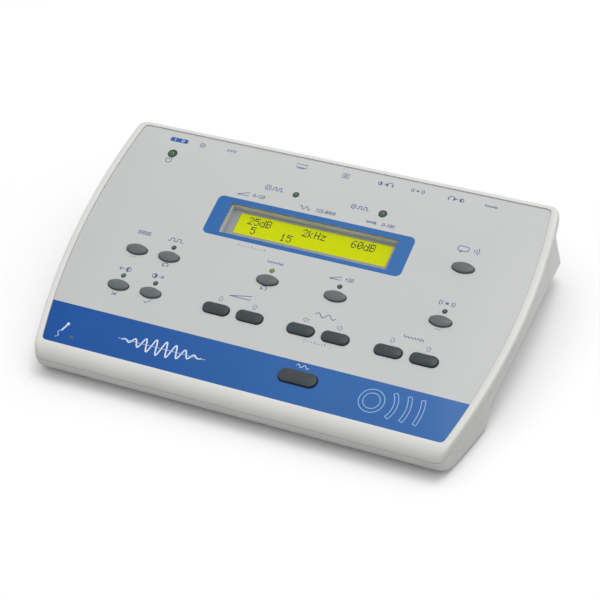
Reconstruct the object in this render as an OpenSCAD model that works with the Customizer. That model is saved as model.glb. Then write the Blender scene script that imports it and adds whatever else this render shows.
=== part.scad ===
// Desk audiometer: a wedge-shaped case with a sloping front panel, a character display,
// fifteen push keys, nine lamps and a row of sockets in a sheltered back wall.
// Millimetres, +Z up, +X to the right of the person who uses it, +Y to the back.
// The origin is under the middle of the object, on the surface that it stands on.

/* [Front panel] */
// Width of the printed panel where it is widest
panel_width = 256.4; // [250:0.2:310]
// Length of the printed panel up its slope
panel_length = 152.2; // [150:0.2:184]
// Radius of the bowed sides of the panel
bow_radius = 370; // [320:5:600]
// Distance up the slope at which the panel is widest
bow_middle = 93; // [80:1:110]
// Slope of the panel in degrees
tilt = 12.5; // [11:0.5:14]
// Height of the panel's front edge over the table
front_height = 19.5; // [19:0.5:24]
// Thickness of the printed sheet
sheet_t = 0.5; // [0.3:0.1:0.8]

/* [Case] */
// Thickness of both case shells
wall = 2.5; // [2:0.1:3]
// Width of the rim outside the printed panel
rim = 4.2; // [3:0.1:6]
// Height of the rim over the printed panel
rim_rise = 0.7; // [0.4:0.1:1]
// Rounding of the rim's outer edge
rim_round = 1.6; // [1:0.1:4]
// Depth of the joint between the shells, square to the panel
seam_depth = 5; // [4.5:0.5:6]
// Width of the shadow gap at the joint
seam_gap = 0.45; // [0.2:0.05:0.8]
// Radius of the case's front corners, seen from above
front_corner = 5; // [4:0.5:16]
// Radius of the lid's rear corners, seen from above
rear_corner = 7; // [4:0.5:12]
// Rounding of the lid's rear edge
rear_round = 3; // [2:0.5:4]
// Lean of the back wall in degrees
back_lean = 21.5; // [16:0.5:24]
// Reach of the back wall's foot behind the lid
back_foot = 3.4; // [1:0.1:6]
// Height of the case's underside over the table
foot_show = 2.4; // [1.6:0.1:3]
// Play between the two shells at their lip
lip_gap = 0.15; // [0.1:0.05:0.3]

/* [Finger grips] */
// Depth of each grip into the side of the case
grip_depth = 14; // [10:0.5:18]
// Radius of the grip's arched top
grip_radius = 123; // [110:1:140]
// Distance of the arch's middle from the panel's front edge
grip_middle = 93; // [88:1:98]
// Height of the arch's top over the table
grip_top = 27; // [24:0.5:28]
// Distance from the panel's front edge to the grip
grip_front = 38; // [34:1:44]

/* [Keys and lamps] */
// Distance between neighbouring keys
key_pitch = 20; // [19:0.5:22]
// Distance between the three pairs of pill keys
pair_pitch = 50; // [48:1:54]
// Left-hand column of keys, measured from the middle
first_column = -90; // [-92:1:-86]
// Height of the lower key row up the panel
low_row = 43.9; // [42:0.1:46]
// Height of the upper key row up the panel
high_row = 68.7; // [66:0.1:72]
// Height of the talk-over key up the panel
talk_row = 104; // [100:0.5:108]
// Height of the large key up the panel
band_row = 15.6; // [15:0.1:17]
// Length of an oval key
oval_length = 12.5; // [11:0.5:14]
// Width of the oval and small pill keys
key_width = 6.5; // [6:0.1:7.5]
// Length of a small pill key
pill_length = 15.5; // [14:0.5:17]
// Length of the large key
large_length = 22; // [20:0.5:26]
// Width of the large key
large_width = 8; // [7:0.5:9]
// Height of a key's top over the panel
key_rise = 2; // [1.4:0.1:2.6]
// Stroke of a key
key_stroke = 0.9; // [0.5:0.1:1]
// Gap round a key
key_gap = 0.35; // [0.25:0.05:0.5]
// Diameter of a key's stem
stem_d = 3; // [2.5:0.1:3.4]
// Distance of a lamp above its key
lamp_offset = 6.7; // [6.2:0.1:7.5]
// Diameter of the lamps over the keys
lamp_small = 2.6; // [2:0.1:3]
// Diameter of the signal lamp
lamp_medium = 3.4; // [3:0.1:4]
// Diameter of the power lamp
lamp_power = 4; // [3.4:0.1:4.4]
// Diameter of the patient's lamp
lamp_large = 4.6; // [4:0.1:5]
// Gap round a lamp
lamp_gap = 0.2; // [0.1:0.05:0.3]

/* [Display] */
// Width of the opening for the display
window_width = 100.3; // [98:0.1:104]
// Height of the opening for the display
window_height = 20.4; // [19:0.1:22]
// Middle of the display up the panel
window_row = 102.4; // [100:0.1:106]
// Width of the lit field
field_width = 91.4; // [88:0.1:94]
// Height of the lit field
field_height = 13.8; // [13:0.1:16]
// Offset of the lit field from the middle
field_shift = [1.3, 1.3]; // [0:0.1:2]
// Depth of the display's metal frame under the panel
bezel_depth = 4.5; // [4:0.1:5]

/* [Boards] */
// Thickness of a circuit board
board_t = 1.6; // [1.2:0.2:2]
// Depth of the key board's upper face under the panel
key_board_depth = 9; // [8.8:0.1:10]
// Height of the main board's underside over the table
main_board_z = 15; // [14:0.5:16]

/* [Sockets] */
// Bore of the headset jack sockets
jack_bore = 6.5; // [6.4:0.05:6.7]
// Height of the sockets' axes over the main board
socket_rise = 6.4; // [6:0.1:7]
// Distances of the four headset jacks from the middle
headset_at = [30.2, 48.6, 70.1, 91.1]; // [28:0.1:94]
// Distance of the response button's jack from the middle
response_at = -83.9; // [-86:0.1:-82]
// Distance of the power switch from the middle
switch_at = -98.8; // [-100:0.1:-98]
// Distance of the power inlet from the middle
inlet_at = -65.5; // [-68:0.1:-60]
// Distance of the computer port from the middle
usb_at = -21.4; // [-26:0.1:-18]
// Distance of the printer port from the middle
printer_at = 5.5; // [2:0.1:10]
// Swing of the rocker from on to off in degrees
rocker_swing = 14; // [10:1:16]

/* [Hidden] */

// Finenesses: small rounds, and the very large rounds of the bowed sides
$fn = 48;
bow_fn = 360;

// Colours
case_colour = [0.88, 0.88, 0.86];
sheet_colour = [0.79, 0.79, 0.79];
oval_colour = [0.42, 0.45, 0.46];
pill_colour = [0.17, 0.21, 0.22];
board_colour = [0.10, 0.35, 0.20];
metal_colour = [0.72, 0.73, 0.75];
black_plastic = [0.10, 0.10, 0.11];
lit_green = [0.35, 0.80, 0.20];
dark_green = [0.12, 0.28, 0.18];
lit_yellow = [0.80, 0.85, 0.15];

// Front panel and lid, in distances from the panel's front edge
half_width = panel_width / 2;
web = 2.5;
web_bottom = sheet_t + web;
lid_back = panel_length + rim;
least_corner = 0.5;
far = 400;

// Nose: the round front edge of the case, tangent to the rim's plane and to the underside
nose_up = -1.2;
nose_r = (front_height + nose_up * sin(tilt) + rim_rise * cos(tilt) - foot_show) / (1 + cos(tilt));
nose_from_edge = nose_up * cos(tilt) - (rim_rise - nose_r) * sin(tilt);
nose_reach = nose_r - nose_from_edge;

// Back: the lid's rear edge, and the leaning back wall under it
lid_back_y = lid_back * cos(tilt) - rim_rise * sin(tilt);
lid_back_z = front_height + lid_back * sin(tilt) + rim_rise * cos(tilt);
back_foot_y = lid_back_y + back_foot;
body_depth = nose_reach + back_foot_y;

// Place of the panel's front edge along Y
front = -body_depth / 2 + nose_reach;
nose_at = [front + nose_from_edge, foot_show + nose_r];
up_slope = [-sin(tilt), cos(tilt)];

// Plan of the case: the bow of the sides as it looks from straight above
plan_radius = bow_radius * pow(cos(tilt), 2);
plan_y = front + bow_middle * cos(tilt) + seam_depth * sin(tilt);

// Height of the inside floor, and a function for the panel plane's height over a distance back
floor_z = foot_show + wall;
function slope_z(y, depth) = front_height - depth / cos(tilt) + (y - front) * tan(tilt);

// Back wall's outer face at a height, shifted inwards by inset
function back_y(z, inset) = front + back_foot_y - (z - foot_show) * tan(back_lean) - inset / cos(back_lean);

// Columns of keys
left_column = first_column;
right_column = first_column + key_pitch;
signal_column = first_column + 3 * key_pitch;
frequency_column = signal_column + pair_pitch;
masking_column = frequency_column + pair_pitch;
boost_column = frequency_column + key_pitch / 2;

// Places of the keys on the panel
menu_at = [left_column, high_row];
pulse_at = [right_column, high_row];
left_at = [left_column, low_row];
right_at = [right_column, low_row];
mask_at = [signal_column + key_pitch, high_row];
boost_at = [boost_column, high_row];
talk_at = [masking_column + key_pitch, talk_row];
bone_at = [masking_column + key_pitch, high_row];
signal_at = [signal_column, low_row];
frequency_at = [frequency_column, low_row];
masking_at = [masking_column, low_row];
present_at = [boost_column, band_row];
oval_places = [menu_at, pulse_at, left_at, right_at, mask_at, boost_at, talk_at, bone_at];
next_key = [key_pitch, 0];
pill_places = [signal_at, signal_at + next_key, frequency_at, frequency_at + next_key,
    masking_at, masking_at + next_key];

// Places of the lamps on the panel
lamp_up = [0, lamp_offset];
power_lamp_at = [-98.9, 136.4];
present_lamp_at = [-17.1, 126.8];
response_lamp_at = [35.1, 126.8];
small_lamps = [for (k = [pulse_at, left_at, right_at, mask_at, boost_at, bone_at]) k + lamp_up];

// Microphone
mic_at = [-100.8, 5.7];
mic_hole = 1.8;
mic_d = 6;
mic_length = 2.7;
grommet_wall = 1;
grommet_length = 3.6;
grommet_face = 0.6;
mic_collar = 4;

// Key build-up, in depths under the panel
flange_gap = 0.2;
flange_t = 1.2;
flange_side = 1.2;
stem_reach = 2.5;
flange_top = web_bottom + flange_gap;
stem_end = flange_top + flange_t + stem_reach;
switch_side = 6;
switch_corner = 0.6;
switch_top = flange_top + flange_t + key_stroke + 0.3;
switch_floor = 0.4;
stem_gap = 0.08;
crown = 0.5;
crown_step = 1.2;
oval_end = 2;
lamp_flange = 0.5;
lamp_flange_t = 1;
lamp_rise = 0.9;

// Display build-up
bezel_t = 0.5;
bezel_margin = 2.8;
bezel_size = [window_width + 2 * bezel_margin, window_height + 2 * bezel_margin];
bezel_play = 0.5;
lcd_board_size = [118, 36];
lcd_board_depth = bezel_depth + 7;
glass_t = 2;
window_t = 1;
window_ledge = 2;
window_play = 0.15;
lcd_post = [lcd_board_size[0] / 2 - 3, lcd_board_size[1] / 2 - 2.5];
lcd_corners = [for (x = [-1, 1], y = [-1, 1]) [x * lcd_post[0], window_row + y * lcd_post[1]]];
lcd_cable_w = 24;
lcd_cable_t = 0.3;

// Key board
key_board_half = half_width - 25.7;
key_board_v = [9, 138.8];
board_corner = 3;
key_under = key_board_depth + board_t;
lcd_under = lcd_board_depth + board_t;
key_board_posts = [[-50, 30], [50, 30], [-50, 60], [55, 60], [-95, 100], [74, 90], [-60, 132], [62, 132]];
cutout_gap = 2;

// Main board and the pocket in the back wall
pocket_half = half_width - 18.2;
pocket_z = [10, 35.5];
plate_t = 2;
plate_y = back_y(pocket_z[1], wall) - 1.6;
main_board_half = half_width - 26.2;
main_board_y = [front + 62, plate_y - plate_t - 1];
main_board_top = main_board_z + board_t;
main_posts = [for (x = [-1, 0, 1], y = [main_board_y[0] + 6, main_board_y[1] - 34])
    [x * (main_board_half - 5), y]];
axis_z = main_board_top + socket_rise;
plate_inner = plate_y - plate_t;
plate_ear = 5;
plate_screw_x = pocket_half + plate_ear / 2 + 0.1;
plate_screw_z = (pocket_z[0] + pocket_z[1]) / 2;

// Sockets, ports and switch: widths, lengths and heights
socket_cover = 6;
jack_size = [14, 26];
jack_floor = 1.5;
bush_d = 9.5;
bush_show = 2.6;
nut_flats = 12.6;
nut_t = 2;
inlet_size = [9, 13, 11];
inlet_barrel = 7.2;
inlet_bore = 5.6;
inlet_pin = 2;
port_show = 0.6;
usb_size = [12, 16, 10.8];
usb_mouth = [8.6, 7.8];
usb_tongue = [5.6, 9.4, 3.2];
printer_size = [15.6, 18, 13];
printer_mouth = [11.8, 8.2];
printer_latch = [6, 2.4];
switch_size = [12, 16, 18.4];
switch_z = (pocket_z[0] + pocket_z[1]) / 2 + 1.75;
switch_frame = [12.8, 1.3, 20];
spade = [4, 4, 0.8];
spade_pitch = 5;
rocker_r = 7.6;
rocker_w = 8.2;
rocker_gap = 0.3;
pivot_y = plate_y - 1.2;
trunnion_d = 2.4;
trunnion_gap = 0.06;
port_play = 0.2;

// Ribbon cable and its two headers
ribbon_x = -47;
ribbon_w = 26;
ribbon_t = 0.7;
ribbon_y = front + 74;
header_low = [5, 2.4];
header_high = [4, 3];
header_v = 76;

// Screws: diameter, head diameter and head height
case_screw = [3, 5.6, 2.4];
board_screw = [2.5, 5, 1.6];
lcd_screw = [2, 3.8, 1.3];
plate_screw = [2, 3.6, 1.2];
screw_play = 0.03;
through_play = 0.2;
thread_in = 4;
case_screw_x = half_width - 20.2;
case_screw_y = [front + 19, plate_y - 25];
case_boss_z = [12, 28];
case_places = [for (x = [-1, 1], i = [0, 1]) [x * case_screw_x, case_screw_y[i], case_boss_z[i]]];
head_recess = 4;

// Posts and the lip
key_post_d = 6;
lcd_post_d = 5;
board_post_d = 7;
lid_boss_d = 8;
tub_boss_d = 9;
lip_t = 1.2;
lip_depth = 2.6;

// Feet
foot_d = 12;
foot_sink = 0.8;
foot_play = 0.15;
foot_x = half_width - 38;
foot_y = [front + 16, front + back_foot_y - 15];

// ---------------------------------------------------------------- helpers

// Puts its children on the sloping panel: X across, Y up the slope, Z out of the panel
module on_panel() {
    translate([0, front, front_height]) rotate([tilt, 0, 0]) children();
}

// Puts its children at one place of the panel, at a depth under it
module at_panel(place, depth) {
    on_panel() translate([place[0], place[1], -depth]) children();
}

// Carries a side view, drawn in Y and Z, across the whole object
module across(length) {
    rotate([90, 0, 90]) linear_extrude(length, center = true) children();
}

// Oval of four arcs: length, width and the radius of its ends
module oval(length, width, end_r) {
    a = length / 2 - end_r;
    b = width / 2;
    big_r = (a * a + b * b - end_r * end_r) / (2 * (b - end_r));
    tangent_x = a * big_r / (big_r - end_r);
    for (s = [-1, 1]) translate([s * a, 0]) circle(end_r);
    intersection() {
        translate([0, b - big_r]) circle(big_r, $fn = 96);
        translate([0, big_r - b]) circle(big_r, $fn = 96);
        square([2 * tangent_x, width], center = true);
    }
}

// Bar with round ends
module pill(length, width) {
    square([length - width, width], center = true);
    for (s = [-1, 1]) translate([s * (length - width) / 2, 0]) circle(width / 2);
}

// Rectangle with round corners
module rounded(size, r) {
    square([size[0] - 2 * r, size[1]], center = true);
    square([size[0], size[1] - 2 * r], center = true);
    for (x = [-1, 1], y = [-1, 1])
        translate([x * (size[0] / 2 - r), y * (size[1] / 2 - r)]) circle(r);
}

// What lies outside one rounded corner between a straight edge and a bowed side
module corner_waste(side_x, bow_x, bow_y, bow_r, edge_y, towards, r) {
    cy = edge_y - towards * r;
    dy = cy - bow_y;
    cx = sqrt(pow(bow_r - r, 2) - dy * dy) - bow_x;
    out = [cx + bow_x, dy] / (bow_r - r);
    mirror([side_x < 0 ? 1 : 0, 0]) difference() {
        polygon([[cx, cy], [cx, cy + towards * 3 * r], [cx + 3 * r, cy + towards * 3 * r],
            [cx, cy] + 3 * r * out]);
        translate([cx, cy]) circle(r);
    }
}

// Plan of the case from above, grown by a distance from the printed panel's edge
module plan(grow, rear_corners) {
    bow_x = plan_radius - half_width;
    difference() {
        intersection() {
            translate([-bow_x, plan_y]) circle(plan_radius + grow, $fn = bow_fn);
            translate([bow_x, plan_y]) circle(plan_radius + grow, $fn = bow_fn);
            square([far, far], center = true);
        }
        for (s = [-1, 1]) {
            corner_waste(s, bow_x, plan_y, plan_radius + grow, front - nose_reach + rim - grow, -1,
                max(front_corner - rim + grow, least_corner));
            if (rear_corners)
                corner_waste(s, bow_x, plan_y, plan_radius + grow, front + lid_back_y - rim + grow, 1,
                    max(rear_corner - rim + grow, least_corner));
        }
    }
}

// Printed panel's outline in the panel's own plane, shrunk all round by a gap
module sheet_outline(gap) {
    bow_x = bow_radius - half_width;
    corner = 3;
    difference() {
        intersection() {
            translate([-bow_x, bow_middle]) circle(bow_radius - gap, $fn = bow_fn);
            translate([bow_x, bow_middle]) circle(bow_radius - gap, $fn = bow_fn);
            translate([-far / 2, gap]) square([far, panel_length - 2 * gap]);
        }
        for (s = [-1, 1]) {
            corner_waste(s, bow_x, bow_middle, bow_radius - gap, gap, -1, corner);
            corner_waste(s, bow_x, bow_middle, bow_radius - gap, panel_length - gap, 1, corner);
        }
    }
}

// Points along an arc, by its middle, its radius and the angles of its two ends
function arc(middle, r, from, to, steps) =
    [for (i = [0 : steps], a = [from + (to - from) * i / steps]) middle + r * [cos(a), sin(a)]];

// Side view of the lid and its nose, shrunk by an inset
module lid_view(inset) {
    r = rear_round;
    top = nose_at + (nose_r - inset) * up_slope;
    corner_y = front + lid_back_y - inset - r;
    corner_z = top[1] + (corner_y - top[0]) * tan(tilt) - r / cos(tilt);
    nose = arc(nose_at, nose_r - inset, 200, 90 + tilt, 20);
    rear = arc([corner_y, corner_z], r, 90 + tilt, 0, 10);
    polygon(concat(nose, rear, [[corner_y + r, 0], nose_at - [nose_r - inset, 2 * nose_r]]));
}

// Side view of the tub and its nose, shrunk by an inset
module tub_view(inset) {
    low = foot_show + inset;
    translate(nose_at) circle(nose_r - inset);
    polygon([[nose_at[0], low], [back_y(low, inset), low], [back_y(100, inset), 100], [nose_at[0], 100]]);
}

// Everything deeper than a depth under the panel, and everything less deep
module below_panel(depth) {
    on_panel() translate([-far / 2, -far / 2, -depth - far]) cube([far, 2 * far, far]);
}
module above_panel(depth) {
    on_panel() translate([-far / 2, -far / 2, -depth]) cube([far, 2 * far, far]);
}

// The lid's softened rim: two great discs with twice-bevelled edges that cross each other
module rim_discs() {
    bow_x = bow_radius - half_width;
    on_panel() intersection() {
        translate([-bow_x, bow_middle, 0]) rim_disc(bow_radius + rim);
        translate([bow_x, bow_middle, 0]) rim_disc(bow_radius + rim);
    }
}
module rim_disc(reach) {
    top_in = 0.75 * rim_round;
    step = 0.27 * rim_round;
    skirt_out = 1.25 * rim_round;
    rotate_extrude($fn = bow_fn) polygon([[0, -60], [reach + skirt_out, -60], [reach + skirt_out, rim_rise - 3 * rim_round],
        [reach - step, rim_rise - step], [reach - top_in, rim_rise], [0, rim_rise]]);
}

// Room inside the two shells, grown inwards by an inset
module cavity(inset) {
    intersection() {
        across(far) tub_view(wall + inset);
        linear_extrude(100) plan(rim - wall - inset, false);
        below_panel(web_bottom);
    }
}

// Side view of a finger grip, which is open at the back, grown by a distance
module grip_view(grow) {
    arch = [front + grip_middle, grip_top - grip_radius];
    start = front + grip_front - grow;
    intersection() {
        translate(arch) circle(grip_radius + grow, $fn = 180);
        polygon([[start - 9, -5], [start, 15], [start, 60], [far, 60], [far, -5]]);
    }
}

// Both finger grips, grown by a distance
module grips(grow) {
    inner = half_width + rim - grip_depth - grow;
    for (s = [-1, 1])
        translate([s * (inner + 20), 0, 0]) across(40) grip_view(grow);
}

// Upright cylinder at a place seen from above
module upright(place, z0, z1, d) {
    translate([place[0], place[1], z0]) cylinder(h = z1 - z0, d = d);
}

// ---------------------------------------------------------------- case shells

// Holes that the keys, lamps, display and microphone need, cut from the panel down to a depth
module panel_openings(depth) {
    gap = 2 * key_gap;
    for (k = oval_places)
        at_panel(k, depth) linear_extrude(far) oval(oval_length + gap, key_width + gap, oval_end + key_gap);
    for (k = pill_places)
        at_panel(k, depth) linear_extrude(far) pill(pill_length + gap, key_width + gap);
    at_panel(present_at, depth) linear_extrude(far) pill(large_length + gap, large_width + gap);
    for (k = small_lamps) at_panel(k, depth) cylinder(h = far, d = lamp_small + 2 * lamp_gap);
    at_panel(power_lamp_at, key_board_depth) cylinder(h = far, d = lamp_power + 2 * lamp_gap);
    at_panel(present_lamp_at, depth) cylinder(h = far, d = lamp_medium + 2 * lamp_gap);
    at_panel(response_lamp_at, depth) cylinder(h = far, d = lamp_large + 2 * lamp_gap);
    at_panel(mic_at, depth) cylinder(h = far, d = mic_hole);
    at_panel([0, window_row], depth) linear_extrude(far)
        square([window_width, window_height], center = true);
}

// Lid: top panel with a rim round a shallow recess, its skirt and its posts
module upper_case() color(case_colour) {
    difference() {
        union() {
            difference() {
                intersection() {
                    across(far) lid_view(0);
                    linear_extrude(100) plan(rim, true);
                    rim_discs();
                    above_panel(seam_depth);
                }
                cavity(0);
            }
            lid_posts();
        }
        on_panel() translate([0, 0, -sheet_t]) linear_extrude(20) sheet_outline(0);
        at_panel([0, window_row], sheet_t + window_t) linear_extrude(20)
            square([window_width + 2 * window_ledge, window_height + 2 * window_ledge], center = true);
        panel_openings(web_bottom + 1);
        lid_screw_holes();
        seam_reveal();
    }
}

// Posts under the lid for the key board, the display board, the case screws and the microphone
module lid_posts() {
    foot = web_bottom - 1;
    for (p = key_board_posts) at_panel(p, key_board_depth) cylinder(h = key_board_depth - foot, d = key_post_d);
    for (p = lcd_corners) at_panel(p, lcd_board_depth) cylinder(h = lcd_board_depth - foot, d = lcd_post_d);
    at_panel(mic_at, web_bottom + mic_collar) difference() {
        cylinder(h = mic_collar + 1, d = mic_d + 4 * grommet_wall);
        translate([0, 0, -1]) cylinder(h = mic_collar + 1, d = mic_d + 2 * grommet_wall);
    }
    intersection() {
        for (p = case_places) upright(p, p[2], 100, lid_boss_d);
        below_panel(foot);
    }
}

// Threaded holes in the lid's posts
module lid_screw_holes() {
    deep = thread_in + 0.4;
    for (p = key_board_posts) at_panel(p, key_board_depth + 1)
        cylinder(h = deep + 1, d = board_screw[0] + 2 * screw_play);
    for (p = lcd_corners) at_panel(p, lcd_board_depth + 1)
        cylinder(h = deep + 1, d = lcd_screw[0] + 2 * screw_play);
    for (p = case_places) upright(p, p[2] - 1, p[2] + deep, case_screw[0] + 2 * screw_play);
}

// Shadow gap cut into the foot of the lid's skirt
module seam_reveal() {
    difference() {
        intersection() {
            above_panel(seam_depth + 1);
            below_panel(seam_depth - seam_gap);
        }
        intersection() {
            across(far) lid_view(0.8);
            linear_extrude(100) plan(rim - 0.8, true);
        }
    }
}

// Tub: the wedge-shaped lower case with its grips, its lip, its posts and the socket pocket
module lower_case() color(case_colour) {
    difference() {
        union() {
            difference() {
                tub_block();
                cavity(0);
            }
            intersection() {
                tub_block();
                grips(wall);
            }
            intersection() {
                tub_block();
                pocket_block(plate_ear, wall, plate_y);
            }
            tub_lip();
            tub_posts();
        }
        grips(0);
        pocket_block(0, 0, plate_y - 1);
        tub_screw_holes();
        for (x = [-1, 1], y = foot_y)
            upright([x * foot_x, y], foot_show - 1, foot_show + foot_sink, foot_d + 2 * foot_play);
        at_panel(power_lamp_at, key_board_depth) cylinder(h = far, d = lamp_power + 4 * lamp_flange);
    }
}

// The tub as a full solid
module tub_block() {
    intersection() {
        across(far) tub_view(0);
        linear_extrude(100) plan(rim, false);
        below_panel(seam_depth);
    }
}

// Pocket in the back wall in which the sockets sit, from a plane back through the wall
module pocket_block(ear, edge, y0) {
    translate([-pocket_half - ear, y0, pocket_z[0] - edge])
        cube([2 * (pocket_half + ear), 60, pocket_z[1] - pocket_z[0] + 2 * edge]);
}

// Lip that keys the lid to the tub
module tub_lip() {
    difference() {
        intersection() {
            union() {
                intersection() {
                    cavity(-0.1);
                    below_panel(seam_depth);
                }
                cavity(lip_gap);
            }
            above_panel(seam_depth + lip_depth);
            below_panel(seam_depth - lip_t);
            across(far) tub_view(0);
        }
        cavity(lip_gap + lip_t);
    }
}

// Posts in the tub for the main board and the case screws
module tub_posts() {
    for (p = main_posts) upright(p, floor_z - 1, main_board_z, board_post_d);
    for (p = case_places) upright(p, floor_z - 1, p[2], tub_boss_d);
}

// Holes for the main board's screws, the case screws and the rear panel's screws
module tub_screw_holes() {
    for (p = main_posts) upright(p, main_board_z - thread_in - 1.4, main_board_z + 1,
        board_screw[0] + 2 * screw_play);
    for (p = case_places) {
        upright(p, -1, p[2] + 1, case_screw[0] + 2 * through_play);
        upright(p, -1, foot_show + head_recess, case_screw[1] + 4 * through_play);
    }
    for (s = [-1, 1]) translate([s * plate_screw_x, plate_y - 1, plate_screw_z]) rotate([-90, 0, 0])
        cylinder(h = thread_in + 2, d = plate_screw[0] + 2 * screw_play);
}

// Printed sheet that lies in the lid's recess
module panel_overlay() color(sheet_colour) {
    difference() {
        on_panel() translate([0, 0, -sheet_t]) linear_extrude(sheet_t) sheet_outline(0.12);
        panel_openings(1);
    }
}

// ---------------------------------------------------------------- display

// Clear plate under the printed sheet
module display_window() color([0.85, 0.92, 0.95, 0.4]) {
    at_panel([0, window_row], sheet_t + window_t) linear_extrude(window_t)
        square([window_width, window_height] + 2 * (window_ledge - window_play) * [1, 1], center = true);
}

// Metal frame round the glass
module lcd_bezel() color(metal_colour) {
    deep = lcd_board_depth - bezel_depth;
    at_panel([0, window_row], lcd_board_depth) difference() {
        linear_extrude(deep) square(bezel_size, center = true);
        translate([0, 0, -1]) linear_extrude(deep + 1 - bezel_t)
            square([bezel_size[0] - 2 * bezel_t, bezel_size[1] - 2 * bezel_t], center = true);
        translate([field_shift[0], field_shift[1], 0]) linear_extrude(20)
            square([field_width, field_height], center = true);
    }
}

// Block of the given depths inside the metal frame
module display_layer(depth, t) {
    at_panel([0, window_row], depth + t) linear_extrude(t)
        square(bezel_size - 2 * (bezel_t + bezel_play) * [1, 1], center = true);
}
module lcd_glass() color([0.78, 0.84, 0.10]) {
    display_layer(bezel_depth + bezel_t, glass_t);
}
module lcd_backlight() color([0.92, 0.94, 0.88]) {
    display_layer(bezel_depth + bezel_t + glass_t, lcd_board_depth - bezel_depth - bezel_t - glass_t);
}

// Board that carries the display
module lcd_board() color(board_colour) {
    difference() {
        at_panel([0, window_row], lcd_under) linear_extrude(board_t)
            square(lcd_board_size, center = true);
        for (p = lcd_corners) at_panel(p, lcd_under + 1) cylinder(h = 5, d = lcd_screw[0] + 2 * through_play);
    }
}

// Flat flexible cable between the display board and the key board
module lcd_cable() color([0.75, 0.75, 0.72]) {
    t = lcd_cable_t;
    edge_v = window_row - lcd_board_size[1] / 2;
    hold = [edge_v - 9, edge_v + 4];
    bend = [edge_v - 2.7, edge_v - 0.5];
    on_panel() across(lcd_cable_w) polygon([[hold[0], -key_under - t], [hold[0], -key_under],
        [bend[0] + 0.1, -key_under], [bend[1] + 0.1, -lcd_under], [hold[1], -lcd_under],
        [hold[1], -lcd_under - t], [bend[1] - 0.1, -lcd_under - t], [bend[0] - 0.1, -key_under - t]]);
}

// ---------------------------------------------------------------- keys and lamps

// Board under the panel that carries the key switches and the lamps
module keypad_board() color(board_colour) {
    middle_v = (key_board_v[0] + key_board_v[1]) / 2;
    difference() {
        at_panel([0, middle_v], key_under) linear_extrude(board_t)
            rounded([2 * key_board_half, key_board_v[1] - key_board_v[0]], board_corner);
        at_panel([0, window_row], key_board_depth + 5) linear_extrude(10)
            square([lcd_board_size[0] + 2 * cutout_gap, lcd_board_size[1] + 2 * cutout_gap], center = true);
        for (p = key_board_posts) at_panel(p, key_under + 1)
            cylinder(h = 5, d = board_screw[0] + 2 * through_play);
    }
}

// One switch under each key: a square housing with a well that guides the key's stem
module key_switches() color(black_plastic) {
    for (k = concat(oval_places, pill_places, [present_at])) at_panel(k, key_board_depth) difference() {
        linear_extrude(key_board_depth - switch_top) rounded([switch_side, switch_side], switch_corner);
        translate([0, 0, switch_floor]) cylinder(h = 10, d = stem_d + 2 * stem_gap);
    }
}

// Stem and retaining flange of a key; the flange's outline is the child
module key_foot() {
    translate([0, 0, -flange_top - flange_t]) linear_extrude(flange_t) children();
    translate([0, 0, -stem_end]) cylinder(h = stem_reach + 0.5, d = stem_d);
}

// Oval key with a stepped crown
module oval_key(place) color(oval_colour) at_panel(place, 0) {
    key_foot() oval(oval_length + 2 * flange_side, key_width + 2 * flange_side, oval_end + flange_side);
    translate([0, 0, -flange_top - crown]) linear_extrude(flange_top + key_rise)
        oval(oval_length, key_width, oval_end);
    translate([0, 0, key_rise - crown]) linear_extrude(crown)
        oval(oval_length - crown_step, key_width - crown_step, oval_end - crown_step / 2);
}

// Pill key with a stepped crown
module pill_key(place, length, width) color(pill_colour) at_panel(place, 0) {
    key_foot() pill(length + 2 * flange_side, width + 2 * flange_side);
    translate([0, 0, -flange_top - crown]) linear_extrude(flange_top + key_rise) pill(length, width);
    translate([0, 0, key_rise - crown]) linear_extrude(crown) pill(length - crown_step, width - crown_step);
}

module key_menu() oval_key(menu_at);
module key_pulse() oval_key(pulse_at);
module key_left() oval_key(left_at);
module key_right() oval_key(right_at);
module key_mask() oval_key(mask_at);
module key_boost() oval_key(boost_at);
module key_talkover() oval_key(talk_at);
module key_bone() oval_key(bone_at);
module key_signal_down() pill_key(signal_at, pill_length, key_width);
module key_signal_up() pill_key(signal_at + next_key, pill_length, key_width);
module key_frequency_down() pill_key(frequency_at, pill_length, key_width);
module key_frequency_up() pill_key(frequency_at + next_key, pill_length, key_width);
module key_masking_down() pill_key(masking_at, pill_length, key_width);
module key_masking_up() pill_key(masking_at + next_key, pill_length, key_width);
module key_present() pill_key(present_at, large_length, large_width);

// Lamp: a flanged body on the key board with a round dome that stands out of the panel
module lamp(place, d, shade) color(shade) at_panel(place, key_board_depth) {
    dome_z = key_board_depth + lamp_rise - d / 2;
    cylinder(h = lamp_flange_t, d = d + 2 * lamp_flange);
    cylinder(h = dome_z, d = d);
    translate([0, 0, dome_z]) difference() {
        sphere(d / 2);
        translate([-d, -d, -2 * d]) cube([2 * d, 2 * d, 2 * d]);
    }
}

module led_power() lamp(power_lamp_at, lamp_power, lit_green);
module led_present() lamp(present_lamp_at, lamp_medium, dark_green);
module led_response() lamp(response_lamp_at, lamp_large, dark_green);
module led_pulse() lamp(pulse_at + lamp_up, lamp_small, dark_green);
module led_left() lamp(left_at + lamp_up, lamp_small, lit_green);
module led_right() lamp(right_at + lamp_up, lamp_small, dark_green);
module led_mask() lamp(mask_at + lamp_up, lamp_small, lit_yellow);
module led_boost() lamp(boost_at + lamp_up, lamp_small, dark_green);
module led_bone() lamp(bone_at + lamp_up, lamp_small, dark_green);

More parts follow.
